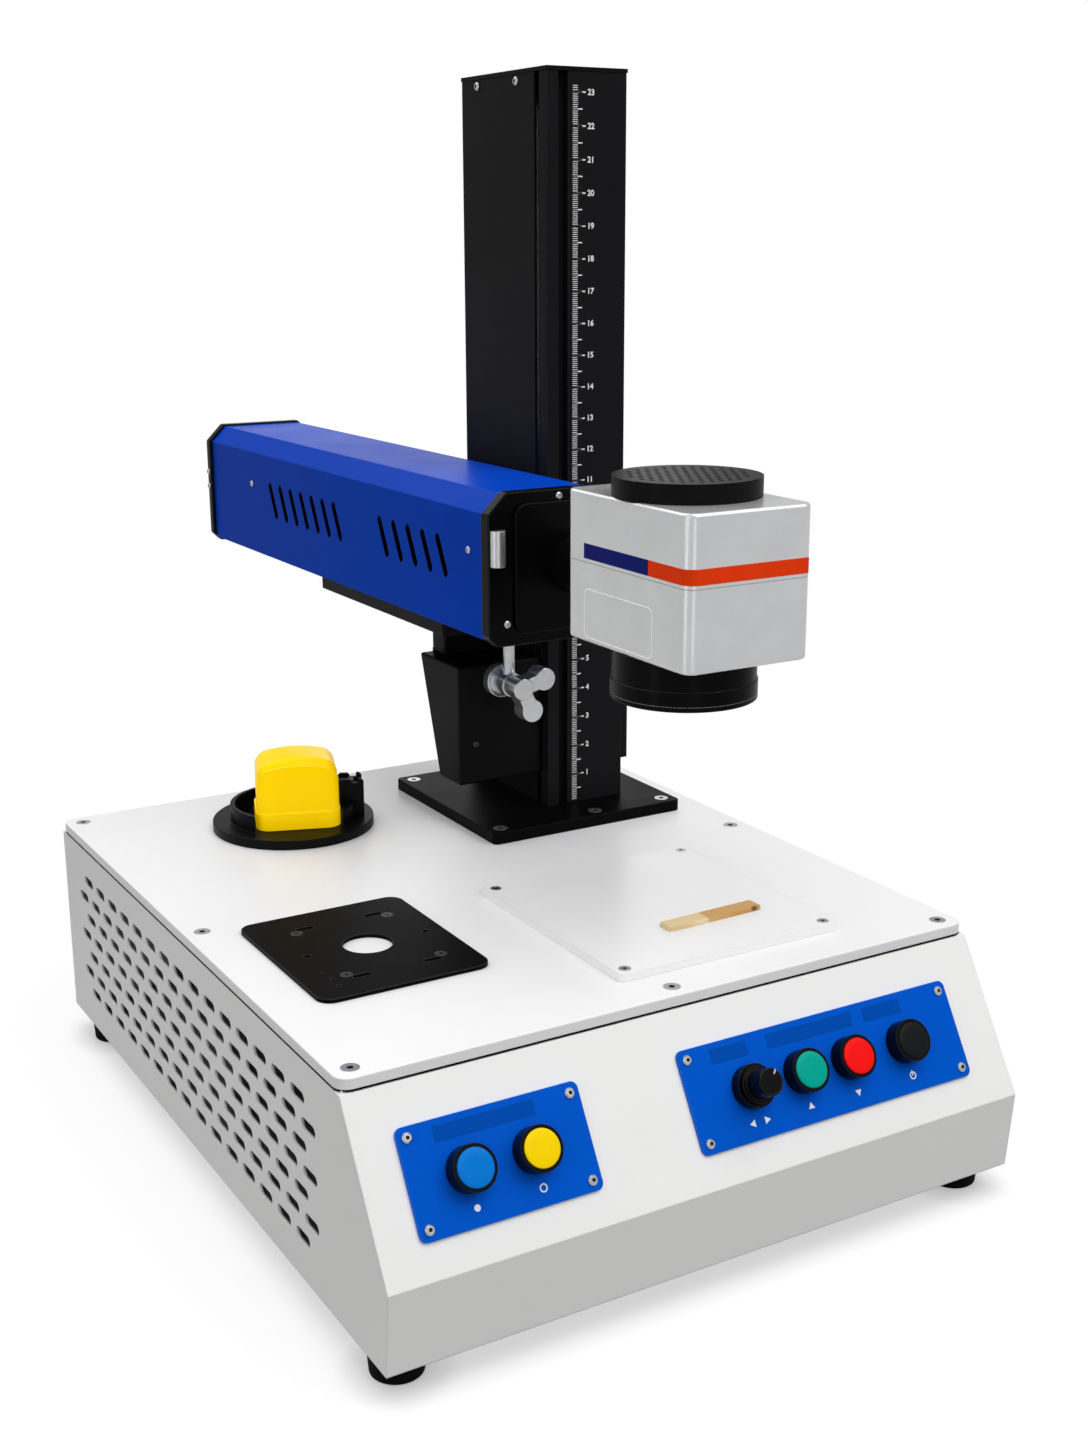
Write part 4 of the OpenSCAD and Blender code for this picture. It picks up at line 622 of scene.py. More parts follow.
@dataclass
class Machine:
    """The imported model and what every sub-assembly needs to know about it."""

    frame: dict
    bodies_of: dict[str, str] = field(default_factory=dict)
    slots_of: dict[str, str] = field(default_factory=dict)

    def __post_init__(self) -> None:
        """Read which body and which material slot each node belongs to."""
        record = self.frame["record"]
        for body, nodes in record["behaviour"]["bodies"].items():
            for node in nodes:
                self.bodies_of[node] = body
        for part in record["subparts"]:
            self.slots_of[part["node"]] = part["material_slot"]

    def finish(self, piece: Piece, finish: Finish, node: str, replaces: bool = False,
            smooth: float = 35.0, flatten: bool = True) -> Piece:
        """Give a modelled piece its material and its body.

        Args:
            piece: the piece.
            finish: its finish.
            node: the CAD node that it belongs to.
            replaces: whether it stands for that node.
            smooth: the angle that it is shaded smooth across.
            flatten: whether its large flat faces keep their own normal beside a rounding.

        Returns:
            The piece.
        """
        piece.data.materials.clear()
        piece.data.materials.append(finish.build())
        Bench.smooth(piece, smooth)
        if flatten:
            Bench.modify(piece, "WEIGHTED_NORMAL", keep_sharp=True, weight=50)
        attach(piece, self.bodies_of[node])
        if replaces:
            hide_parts(node)
        LOG.info("%s: %d faces, %s", piece.name, len(piece.data.polygons), finish.name)
        return piece

    def soften(self, node: str, finish: Finish, width: float = 0.0, steps: int = 2,
            angle: float = 40.0, pick: Test | None = None,
            shape: Callable[[Piece], None] | None = None) -> Piece:
        """Stand a copy of a CAD node, smooth and with rounded edges, in the node's place.

        Args:
            node: the CAD node.
            finish: the copy's finish.
            width: the rounding in mm; without one only the finish rounds the edges.
            steps: its segments.
            angle: the least angle of a rounded edge, in degrees.
            pick: is given an edge's middle in mm and its direction, and picks the rounded edges.
            shape: reshapes the rounded copy before it gets its finish.

        Returns:
            The new piece.
        """
        source = self.frame["nodes"][node]
        piece = bpy.data.objects.new(f"{node}_finished", source.data.copy())
        bpy.context.scene.collection.objects.link(piece)
        activate(piece)
        bpy.ops.mesh.customdata_custom_splitnormals_clear()
        bpy.ops.object.mode_set(mode="EDIT")
        bpy.ops.mesh.select_all(action="SELECT")
        bpy.ops.mesh.remove_doubles(threshold=0.000002)
        if width:
            bpy.ops.mesh.dissolve_limited(angle_limit=math.radians(0.5))
        bpy.ops.object.mode_set(mode="OBJECT")
        if width:
            Bench.round_edges(piece, width, steps, angle, pick)
        if shape is not None:
            shape(piece)
        smooth = 35.0 if width else 25.0
        return self.finish(piece, finish, node, True, smooth, flatten=bool(width))

    @staticmethod
    def paint(piece: Piece, finish: Finish, test: Test) -> None:
        """Give the picked faces of a piece a finish of their own.

        Args:
            piece: the piece.
            finish: the faces' finish.
            test: is given a face's centre in mm and its normal.
        """
        piece.data.materials.append(finish.build())
        index = len(piece.data.materials) - 1
        picked = [f.index for f in piece.data.polygons if test(f.center / MM, f.normal)]
        for number in picked:
            piece.data.polygons[number].material_index = index

    @staticmethod
    def recess(piece: Piece, axes: Sequence[Vector], radius: float) -> None:
        """Paint shade into the hexagon socket in the head of every screw of a group.

        Args:
            piece: the group of separate screws.
            axes: the directions that their heads face.
            radius: the radius that the sockets lie within, in mm.
        """
        mesh = piece.data
        group = list(range(len(mesh.vertices)))

        def root(i: int) -> int:
            while group[i] != i:
                group[i] = group[group[i]]
                i = group[i]
            return i

        for edge in mesh.edges:
            group[root(edge.vertices[0])] = root(edge.vertices[1])
        screws: dict[int, list[int]] = {}
        for i in range(len(group)):
            screws.setdefault(root(i), []).append(i)
        mesh.materials.append(HEX_SHADE.build())
        index = len(mesh.materials) - 1
        heads: dict[int, tuple[Vector, Vector, float]] = {}
        for key, members in screws.items():
            places = [mesh.vertices[i].co / MM for i in members]
            spans = [max(p @ a for p in places) - min(p @ a for p in places) for a in axes]
            axis = axes[spans.index(max(spans))]
            flat = [p - axis * (p @ axis) for p in places]
            middle = Vector(
                (max(p[k] for p in flat) + min(p[k] for p in flat)) / 2 for k in range(3))
            heads[key] = (axis, middle, max(p @ axis for p in places))
        for face in mesh.polygons:
            axis, middle, top = heads[root(face.vertices[0])]
            place = face.center / MM
            reach = (place - axis * (place @ axis) - middle).length
            if reach < radius and place @ axis < top - 0.3 and face.normal @ axis > -0.5:
                face.material_index = index

    def dress(self, finish: Finish, *nodes: str) -> None:
        """Give CAD nodes that stay as they are a better material."""
        for node in nodes:
            target = self.frame["nodes"][node]
            target.data.materials.clear()
            target.data.materials.append(finish.build())
            LOG.info("%s: %s", node, finish.name)


def deck(x: float, y: float, z: float) -> Vector:
    """Turn a place counted from the deck's front edge and from the bench into metres.

    Args:
        x: mm to the right of the middle.
        y: mm behind the deck's front edge.
        z: mm above the bench.

    Returns:
        The place in the frame.
    """
    return Vector((x * MM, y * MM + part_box("top_plate")[0][1], z * MM))


def is_top(middle: Vector, normal: Vector) -> bool:
    """Tell whether a face is the flat top in the middle of a turned piece."""
    return normal.z > 0.9 and math.hypot(middle.x, middle.y) < 1


def is_foot(middle: Vector, normal: Vector) -> bool:
    """Tell whether a face is the flat underside in the middle of a turned piece."""
    return normal.z < -0.9 and math.hypot(middle.x, middle.y) < 1


@dataclass
class Cabinet:
    """The cabinet with its deck, plates and feet."""

    machine: Machine
    middle_y: float = -106.0
    half_d: float = 283.0
    rim_w: float = 9.0
    corner_r: float = 10.0
    work_x: tuple[float, float] = (-28.0, 168.0)
    work_y: tuple[float, float] = (-335.0, -185.0)
    oxide_x: float = -60.0
    socket_r: float = 2.3
    gap: tuple[float, float] = (-0.7, 0.5)
    gap_proud: float = 0.04

    def build(self) -> None:
        """Round the sheet metal's bends and finish the plates and screws."""
        m = self.machine
        m.soften("cabinet_shell", POWDER_WHITE)
        rim_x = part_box("top_plate")[1][0] / MM - self.rim_w
        m.soften("top_plate", DECK_WHITE, 0.8, 3, pick=lambda c, d: self.deck_rim(c, d, rim_x))
        m.soften("work_plate", PLATE_WHITE, 0.5, 2, pick=self.work_rim)
        m.soften("fixture_plate", ANODISED_SHADED)
        up = (Vector((0, 0, 1)),)
        m.recess(m.soften("deck_screws", ZINC_SCREW), up, self.socket_r)
        screws = m.soften("plate_screws", ZINC_SCREW)
        m.paint(screws, OXIDE, lambda c, n: c.x < self.oxide_x)
        m.recess(screws, up, self.socket_r)
        m.soften("rubber_feet", RUBBER, 1.6, 3)
        m.soften("locating_bar", WOOD, 0.35)
        m.soften("mains_inlet", NYLON)
        m.dress(SHEET_ZINC, "bottom_pan")
        m.dress(CASE, "power_supply")
        m.dress(BOARD, "control_board")
        m.dress(NYLON, "fan_frame", "fan_rotor")
        m.dress(MOTOR, "z_motor")
        self.shadow_gap()

    def deck_rim(self, middle: Vector, along: Vector, rim_x: float) -> bool:
        """Tell whether an edge runs round the deck plate's outline."""
        side = abs(middle.x) > rim_x and abs(along.y) > 0.1
        return abs(along.z) < 0.5 and (side or abs(middle.y - self.middle_y) > self.half_d)

    def work_rim(self, middle: Vector, along: Vector) -> bool:
        """Tell whether an edge runs round the work plate's outline."""
        (x0, x1), (y0, y1) = self.work_x, self.work_y
        return abs(along.z) < 0.5 and not (x0 < middle.x < x1 and y0 < middle.y < y1)

    def shadow_gap(self) -> None:
        """Draw the dark line between the deck plate and the cabinet under it: a strip of painted
        shadow in the gap.
        """
        low, high = (Vector(corner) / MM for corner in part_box("top_plate"))
        low.z, high.z = (low.z + step for step in self.gap)
        piece = Bench.belt("deck_shadow_gap", tuple(low), tuple(high), self.corner_r,
            self.gap_proud)
        self.machine.finish(piece, PAINTED_SHADE, "top_plate")


@dataclass
class ControlFront:
    """The sloped front: two panels, their switches and the marks beside them."""

    machine: Machine
    slope_run: float = 61.0
    slope_top: float = 180.5
    slope_drop: float = 102.5
    row: float = 62.0
    panel_t: float = 2.0
    cap_r: float = 12.3
    cap_low: float = 10.0
    cap_t: float = 5.5
    stem_r: float = 4.0
    stem_l: float = 16.0
    dome: tuple[tuple[float, float], ...] = ((0.9, 0.0), (0.7, 0.35), (3.2, 0.12), (3.6, 0.05))
    knob_x: float = 32.0
    knob_r: float = 12.5
    knob_low: float = 8.3
    knob_turn: float = math.radians(-38)
    arrow_gap: float = 5.5
    mark_t: float = 0.08
    mark_row: float = 85.5
    caps: tuple[tuple[str, float, Finish], ...] = (("laser_button", -181.5, CAP_BLUE),
        ("test_button", -135.0, CAP_YELLOW), ("up_button", 75.0, CAP_GREEN),
        ("down_button", 116.0, CAP_RED), ("power_button", 165.0, CAP_BLACK))
    patches: tuple[tuple, ...] = (("marking_panel", -198.0, -127.0, 31.5, 41.5),
        ("axis_panel", 8.0, 38.0, 31.5, 41.5), ("axis_panel", 54.0, 128.0, 31.5, 41.5),
        ("axis_panel", 138.0, 172.0, 31.5, 41.5))

    def on_slope(self, x: float, s: float, off: float = 0.0) -> Matrix:
        """Find a place on the slope: Z stands off it and Y runs up it.

        Args:
            x: mm along the front.
            s: mm down from the slope's top edge.
            off: mm off its surface.

        Returns:
            The matrix that carries a piece there.
        """
        tilt = math.atan2(self.slope_run, self.slope_drop)
        place = deck(x, -s * math.sin(tilt), self.slope_top - s * math.cos(tilt))
        turn = Matrix.Rotation(math.pi / 2 - tilt, 4, "X")
        return Matrix.Translation(place) @ turn @ Matrix.Translation((0, 0, off * MM))

    def build(self) -> None:
        """Finish the panels and the switches, and print the marks."""
        m = self.machine
        m.soften("marking_panel", PANEL_BLUE)
        m.soften("axis_panel", PANEL_BLUE)
        outward = self.on_slope(0, 0).to_3x3() @ Vector((0, 0, 1))
        heads = m.soften("button_head_screws", ZINC_SCREW)
        m.recess(heads, (outward, Vector((-1, 0, 0))), 2.2)
        m.soften("switch_bodies", BEZEL)
        for node, x, finish in self.caps:
            self.cap(node, x, finish)
        self.knob()
        for i, (panel, x0, x1, s0, s1) in enumerate(self.patches):
            self.patch(f"{panel}_patch_{i}", panel, x0, x1, s0, s1)
        self.marks()

    def cap(self, node: str, x: float, finish: Finish) -> None:
        """Model a push-button cap: a shallow dome in a raised rim, on its stem.

        Args:
            node: the button's CAD node.
            x: its place along the front, in mm.
            finish: its colour.
        """
        low, high = self.cap_low, self.cap_low + self.cap_t
        piece = Bench.turned(f"{node}_cap", self.cap_r, low, high - 0.5)
        for width, rise in self.dome:
            Bench.inset(piece, is_top, width, rise)
        Bench.inset(piece, is_foot, self.cap_r - self.stem_r)
        Bench.extrude(piece, is_foot, (0, 0, -self.stem_l))
        Bench.round_edges(piece, 0.45, 3, 50)
        Bench.carry(piece, self.on_slope(x, self.row))
        self.machine.finish(piece, finish, node, replaces=True, smooth=30)

    def knob(self) -> None:
        """Model the selector knob: a tapered grip on a flange, with a white pointer."""
        low = self.panel_t + self.knob_low
        piece = Bench.turned("selector_grip", self.knob_r, low, low + 2.5)
        Bench.inset(piece, is_top, 2.6)
        Bench.inset(piece, is_top, 0.4, 1.2)
        Bench.extrude(piece, is_top, (0, 0, 12.2))
        for width, rise in ((0.35, 1.6), (0.9, 0.35), (0.8, -0.25)):
            Bench.inset(piece, is_top, width, rise)
        Bench.inset(piece, is_foot, self.knob_r - self.stem_r)
        Bench.extrude(piece, is_foot, (0, 0, -self.stem_l))
        Bench.round_edges(piece, 0.4, 3, 40)
        pointer = Bench.block("selector_pointer", (-0.55, 5.6, low + 16.9),
            (0.55, 9.1, low + 18.05))
        Bench.round_edges(pointer, 0.2, 2)
        turn = self.on_slope(self.knob_x, self.row) @ Matrix.Rotation(self.knob_turn, 4, "Z")
        Bench.carry(piece, turn)
        Bench.carry(pointer, turn)
        self.machine.finish(piece, BEZEL, "selector_knob", replaces=True, smooth=30)
        self.machine.finish(pointer, INK_POINTER, "selector_knob")

    def patch(self, name: str, panel: str, x0: float, x1: float, s0: float, s1: float) -> None:
        """Lay a bare, darker title field on a panel.

        Args:
            name: the piece's name.
            panel: the panel's CAD node.
            x0: its left edge in mm.
            x1: its right edge in mm.
            s0: its upper edge, in mm down the slope.
            s1: its lower edge, in mm down the slope.
        """
        half = ((x1 - x0) / 2, (s1 - s0) / 2)
        piece = Bench.block(name, (-half[0], -half[1], -0.5), (half[0], half[1], self.mark_t))
        Bench.round_edges(piece, 0.04, 1)
        Bench.carry(piece, self.on_slope((x0 + x1) / 2, (s0 + s1) / 2, self.panel_t))
        self.machine.finish(piece, PATCH_BLUE, panel)

    def marks(self) -> None:
        """Print one plain sign under each switch: a dot, rings, arrows and a bar."""
        laser, test, up, down, power = (x for _, x, _ in self.caps)
        self.ring("laser_mark", "marking_panel", laser, 2.2, 0.0)
        self.ring("test_mark", "marking_panel", test, 2.8, 1.9)
        self.arrow("up_mark", up, 0.0)
        self.arrow("down_mark", down, math.pi)
        self.arrow("turn_mark_left", self.knob_x - self.arrow_gap, math.pi / 2)
        self.arrow("turn_mark_right", self.knob_x + self.arrow_gap, -math.pi / 2)
        self.ring("power_mark", "axis_panel", power, 2.8, 1.9)
        bar = Bench.block("power_bar", (-0.45, -0.2, -0.5), (0.45, 3.6, self.mark_t * 1.5))
        Bench.round_edges(bar, 0.05, 1)
        Bench.carry(bar, self.on_slope(power, self.mark_row, self.panel_t))
        self.machine.finish(bar, INK_WHITE, "axis_panel")

    def ring(self, name: str, panel: str, x: float, r: float, bore: float) -> None:
        """Print a dot, or a ring if it has a bore.

        Args:
            name: the piece's name.
            panel: the panel's CAD node.
            x: its place along the front, in mm.
            r: its outer radius in mm.
            bore: its inner radius in mm.
        """
        piece = Bench.turned(name, r, -0.5, self.mark_t, 48)
        if bore:
            for up in (1, -1):
                Bench.inset(piece, lambda c, n, up=up: n.z * up > 0.9, r - bore)
            Bench.pick(piece, lambda c, n: is_top(c, n) or is_foot(c, n))
            bpy.ops.mesh.bridge_edge_loops()
            Bench.done()
        else:
            Bench.round_edges(piece, 0.05, 1)
        Bench.carry(piece, self.on_slope(x, self.mark_row, self.panel_t))
        self.machine.finish(piece, INK_WHITE, panel)

    def arrow(self, name: str, x: float, turn: float) -> None:
        """Print a small solid triangle.

        Args:
            name: the piece's name.
            x: its place along the front, in mm.
            turn: its turn from pointing up the slope, in radians.
        """
        piece = Bench.turned(name, 3.1, -0.5, self.mark_t, 3)
        Bench.round_edges(piece, 0.15, 2, 60)
        at = self.on_slope(x, self.mark_row, self.panel_t) @ Matrix.Rotation(turn, 4, "Z")
        Bench.carry(piece, at)
        self.machine.finish(piece, INK_WHITE, "axis_panel")


@dataclass
class Socket:
    """The round accessory socket with its yellow hinged cover."""

    machine: Machine
    x: float = -83.0
    y: float = 463.0
    deck_z: float = 190.0
    turn_deg: float = -19.4
    cover_x: float = 2.6
    cover_y: float = -12.6
    half_w: float = 33.45
    lip_w: float = 35.25
    half_d: float = 28.0
    round_r: float = 9.0
    fall: float = 1.0
    drop: float = 5.5
    bend_z: tuple[float, float] = (42.0, 53.0)
    visor_z: tuple[float, float] = (20.0, 63.4)
    visor_t: float = 2.2
    shoulder: float = 9.0
    shoulder_fall: float = 9.0

    def axes(self) -> Matrix:
        """Give the matrix of the hood's own turned axes, which stand on the deck under it."""
        turn = Matrix.Rotation(math.radians(self.turn_deg), 4, "Z")
        shift = Matrix.Translation((self.cover_x * MM, self.cover_y * MM, 0))
        return Matrix.Translation(deck(self.x, self.y, self.deck_z)) @ turn @ shift

    def build(self) -> None:
        """Finish the base and shape the hood, its visor and its hinge."""
        m = self.machine
        m.soften("socket_flange", NYLON, 0.8, 3)
        m.soften("socket_insert", NYLON, 0.3)
        m.soften("cover_hinge_bracket", NYLON, 0.6, 2)
        axes = self.axes()
        hood = m.soften("socket_cover", HOOD_YELLOW, 0.6, 3,
                        shape=lambda piece: self.bend(piece, axes, self.fall))
        back = axes.inverted()
        m.paint(hood, NYLON, lambda c, n: (back @ (c * MM)).x / MM > self.lip_w + 0.3)
        self.visor(axes)

    def bend(self, piece: Piece, axes: Matrix, fall: float = 0.0) -> None:
        """Cut a piece into strips and bend its top into the hood's arch.

        Args:
            piece: the piece.
            axes: the hood's axes in the piece's own.
            fall: how far the piece's top falls from front to back, which is taken out, in mm.
        """
        activate(piece)
        bpy.ops.object.mode_set(mode="EDIT")
        across = axes.to_3x3() @ Vector((1, 0, 0))
        for step in range(-6, 7):
            bpy.ops.mesh.select_all(action="SELECT")
            place = axes @ Vector((step * self.half_w / 6.5 * MM, 0, 0))
            bpy.ops.mesh.bisect(plane_co=place, plane_no=across)
        Bench.done()
        back = axes.inverted()
        flat_d = self.half_d - 1.8 - self.round_r
        for vertex in piece.data.vertices:
            place = back @ vertex.co / MM
            share = (place.z - self.bend_z[0]) / (self.bend_z[1] - self.bend_z[0])
            share = min(1.0, max(0.0, share))
            rise = fall * min(1.0, max(0.0, 0.5 - place.y / flat_d / 2))
            place.z += share * (rise - self.drop * (place.x / self.half_w) ** 2)
            vertex.co = axes @ (place * MM)

    def visor(self, axes: Matrix) -> None:
        """Model the raised panel that wraps round the hood's front.

        Args:
            axes: the hood's axes.
        """
        half = self.lip_w - 0.9
        piece = Bench.block("cover_visor", (-half, 0.7 - self.half_d, self.visor_z[0]),
            (half, -10.0, self.visor_z[1]))
        Bench.weigh(piece, 40, lambda c, d: abs(d.z) > 0.9 and c.y < -15)
        Bench.modify(piece, "BEVEL", width=(self.round_r + 0.9) * MM, segments=10,
            limit_method="WEIGHT")
        Bench.cut(piece, lambda c, n: abs(n.z) > 0.9 or n.y > 0.9)
        for vertex in piece.data.vertices:
            side = abs(vertex.co.x) / MM - half + self.shoulder
            if vertex.co.z / MM > self.visor_z[1] - 1.0 and side > 0:
                vertex.co.z -= self.shoulder_fall * MM * (side / self.shoulder) ** 2
        Bench.skin(piece, self.visor_t)
        self.bend(piece, Matrix.Identity(4))
        Bench.round_edges(piece, 0.45, 2, 40)
        Bench.carry(piece, axes)
        self.machine.finish(piece, HOOD_YELLOW, "socket_cover")


@dataclass
class Column:
    """The lift column with its scale, side cover, drive and rods."""

    machine: Machine
    face_y: float = 366.0
    scale_x: float = 136.2
    foot_z: float = 200.0
    scale_low: float = 2.0
    scale_high: float = 590.0
    inch: float = 25.4
    tick_w: float = 0.6
    proud: float = 0.05
    digit_h: float = 6.4

    def build(self) -> None:
        """Finish the column and mark its scale."""
        m = self.machine
        m.soften("column_base_plate", ANODISED_SHADED, 0.9, 3)
        m.soften("column_profile", ANODISED_DRAWN, 0.5)
        m.soften("column_side_cover", ANODISED_DRAWN)
        m.soften("column_cap", ANODISED)
        m.soften("limit_switch_rail", ANODISED_DRAWN, 0.4)
        m.dress(TURNED, "guide_rods", "lead_screw")
        m.dress(MILLED, "shaft_coupling", "carriage_block")
        m.dress(BRASS, "guide_bushings", "lead_nut")
        self.ticks("scale_fine", self.inch / 16, 4.8, self.tick_w)
        self.ticks("scale_middle", self.inch / 2, 9.0, self.tick_w * 1.7)
        self.ticks("scale_coarse", self.inch, 12.0, self.tick_w * 1.9)
        self.numbers()

    def ticks(self, name: str, pitch: float, length: float, width: float) -> None:
        """Mark one set of ticks up the whole scale.

        Args:
            name: the piece's name.
            pitch: the distance between ticks in mm.
            length: the length of a tick in mm.
            width: the width of a tick in mm.
        """
        start = math.ceil(self.scale_low / pitch) * pitch
        count = int((self.scale_high - start) // pitch) + 1
        piece = Bench.block(name, (self.scale_x, -self.proud, start - width / 2),
            (self.scale_x + length, 0.1, start + width / 2))
        Bench.modify(piece, "ARRAY", count=count, use_relative_offset=False,
            use_constant_offset=True, constant_offset_displace=(0, 0, pitch * MM))
        Bench.carry(piece, Matrix.Translation(deck(0, self.face_y, self.foot_z)))
        self.machine.finish(piece, INK_WHITE, "column_profile")

    def numbers(self) -> None:
        """Number the inches beside every coarse tick."""
        digits = []
        for mark in range(1, int(self.scale_high // self.inch) + 1):
            deselect()
            bpy.ops.object.text_add()
            text = bpy.context.object
            text.data.body = str(mark)
            text.data.size = self.digit_h * MM
            text.data.offset = 0.00022
            text.data.extrude = self.proud * MM
            text.data.align_y = "CENTER"
            text.data.resolution_u = 3
            bpy.ops.object.convert(target="MESH")
            piece = bpy.context.object
            place = deck(self.scale_x + 13.8, self.face_y, self.foot_z + mark * self.inch)
            Bench.carry(piece, Matrix.Translation(place) @ Matrix.Rotation(math.pi / 2, 4, "X"))
            digits.append(piece)
        piece = Bench.join(digits, "scale_numbers")
        self.machine.finish(piece, INK_WHITE, "column_profile")


@dataclass
class Carriage:
    """The bracket, the arm plate and the clamp that carry the head."""

    machine: Machine

    def build(self) -> None:
        """Finish the bracket and the clamp."""
        m = self.machine
        m.soften("carriage_bracket", ANODISED, 2.2, 4)
        m.soften("arm_plate", ANODISED, 0.7, 3)
        m.soften("clamp_hub", TURNED, 0.6, 3)
        m.dress(TURNED, "clamp_post")
        m.soften("wing_handle", TURNED, 1.0, 3)


@dataclass
class LaserHead:
    """The blue head with its black ends."""

    machine: Machine
    slots: tuple[float, float] = (400.0, 462.0)
    oxide_z: float = 330.0

    def build(self) -> None:
        """Finish the shell, its ends and what is in it."""
        m = self.machine
        # Painted shade: the walls of the vent slots in the head's sides are near-black.
        m.paint(m.soften("head_shell", HEAD_BLUE), PAINTED_SHADE, self.in_slot)
        m.soften("head_front_plate", ANODISED_GLOSS, 1.6, 4)
        m.soften("head_rear_plate", ANODISED_GLOSS, 1.6, 4)
        m.soften("head_cover_panel", ANODISED_GLOSS, 1.0, 3)
        m.paint(m.soften("head_screws", ZINC_SCREW), OXIDE, lambda c, n: c.z < self.oxide_z)
        m.soften("head_latch", TURNED, 0.5)
        m.soften("beam_tube", ANODISED, 0.6)
        # Painted shade: the laser module, seen only through the slots, is dressed near-black.
        m.dress(PAINTED_SHADE, "laser_module")

    def in_slot(self, middle: Vector, normal: Vector) -> bool:
        """Tell whether a face is a wall of a vent slot in the head's sides."""
        low, high = self.slots
        return abs(normal.x) < 0.3 and -0.8 < middle.x < 1.0 and low < middle.z < high


@dataclass
class Scanner:
    """The galvo scanner with its lens."""

    machine: Machine
    low: Place = (2.5, 7.0, 404.2)
    high: Place = (102.5, 156.0, 508.2)
    corner_r: float = 9.0
    band_low: float = 462.5
    band_high: float = 473.0
    band_t: float = 0.12
    navy_y: tuple[float, float] = (52.4, 131.5)
    wrap_x: float = 98.0
    field: tuple[float, float, float, float] = (47.0, 131.0, 407.5, 442.0)
    field_r: float = 5.0
    line_w: float = 0.7
    seam_z: float = 460.0
    lens_r: float = 50.9
    rim_z: float = 373.6

    def build(self) -> None:
        """Finish the housing, its band, cap, barrel and inner pieces."""
        m = self.machine
        front = deck(0, 0, 0).y / MM
        m.soften("galvo_housing", BLASTED, 2.2, 5, pick=lambda c, d: self.outer(c, d, front))
        m.soften("galvo_cap", NYLON)
        m.soften("lens_barrel", ANODISED_GLOSS, 0.7, 3)
        m.dress(LENS, "lens_glass")
        m.dress(MILLED, "galvo_motors")
        m.dress(MIRROR, "mirror_x", "mirror_y")
        self.stripe()
        self.wrap()
        self.engraving()
        self.seam()
        self.rim_line()

    def outer(self, middle: Vector, along: Vector, front: float) -> bool:
        """Tell whether an edge runs round the housing's top or bottom face."""
        x, y = middle.x, middle.y - front
        rim = min(x - self.low[0], self.high[0] - x, y - self.low[1], self.high[1] - y)
        level = min(abs(middle.z - self.low[2]), abs(middle.z - self.high[2]))
        corner = self.corner_r * 0.32
        return abs(along.z) < 0.5 and level < 0.1 and rim < corner

    def place(self, piece: Piece, finish: Finish, node: str, x: float = 0, y: float = 0) -> None:
        """Carry a piece to a place counted from the deck's front edge, and finish it."""
        Bench.carry(piece, Matrix.Translation(deck(x, y, 0)))
        self.machine.finish(piece, finish, node)

    def stripe(self) -> None:
        """Stick the flat navy stripe on the housing's left side."""
        low = (self.low[0] - self.band_t, self.navy_y[0], self.band_low)
        high = (self.low[0] + FILM_T, self.navy_y[1], self.band_high)
        piece = Bench.block("band_navy", low, high)
        Bench.round_edges(piece, 0.05, 1)
        self.place(piece, INK_NAVY, "galvo_housing")

    def wrap(self) -> None:
        """Stick the orange band that runs round the front left corner."""
        t = self.band_t
        low = (self.low[0] - t, self.low[1] - t, self.band_low)
        high = (self.wrap_x, self.navy_y[0], self.band_high)
        piece = Bench.block("band_orange", low, high)
        Bench.weigh(piece, 40, lambda c, d: abs(d.z) > 0.9 and c.x < 5 and c.y < 10)
        Bench.modify(piece, "BEVEL", width=(self.corner_r + t) * MM, segments=14,
            limit_method="WEIGHT")
        Bench.cut(piece, lambda c, n: abs(n.z) > 0.9 or n.x > 0.9 or n.y > 0.9)
        Bench.skin(piece)
        self.place(piece, INK_ORANGE, "galvo_housing")

    def engraving(self) -> None:
        """Engrave the rounded field on the left side as a thin bright line that glows with painted
        light.
        """
        y0, y1, z0, z1 = self.field
        deselect()
        bpy.ops.mesh.primitive_plane_add(size=1)
        piece = bpy.context.object
        piece.name = "engraved_field"
        piece.scale = ((y1 - y0) * MM, (z1 - z0) * MM, 1)
        bpy.ops.object.transform_apply(scale=True)
        Bench.pick(piece, lambda c, n: True)
        bpy.ops.mesh.bevel(offset=self.field_r * MM, segments=6, affect="VERTICES")
        bpy.ops.mesh.select_all(action="SELECT")
        bpy.ops.mesh.inset(thickness=self.line_w * MM)
        bpy.ops.mesh.delete(type="FACE")
        Bench.done()
        Bench.skin(piece)
        place = Matrix.Translation(deck(self.low[0] - 0.04, (y0 + y1) / 2, (z0 + z1) / 2))
        turn = Matrix.Rotation(-math.pi / 2, 4, "Z") @ Matrix.Rotation(math.pi / 2, 4, "X")
        Bench.carry(piece, place @ turn)
        self.machine.finish(piece, ENGRAVED, "galvo_housing")

    def seam(self) -> None:
        """Draw the hairline between the housing's two halves."""
        low = (self.low[0], self.low[1], self.seam_z - 0.2)
        high = (self.high[0], self.high[1], self.seam_z + 0.2)
        piece = Bench.belt("housing_seam", low, high, self.corner_r, 0.03)
        self.place(piece, SEAM, "galvo_housing")

    def rim_line(self) -> None:
        """Draw a bright grey ring round the lens barrel's lower rim: a painted highlight."""
        piece = Bench.turned("lens_rim_highlight", self.lens_r + 0.02, self.rim_z, self.rim_z + 0.5)
        Bench.cut(piece, lambda c, n: abs(n.z) > 0.9)
        Bench.skin(piece)
        x, y = ((self.low[k] + self.high[k]) / 2 for k in range(2))
        self.place(piece, RIM_HIGHLIGHT, "lens_barrel", x, y)


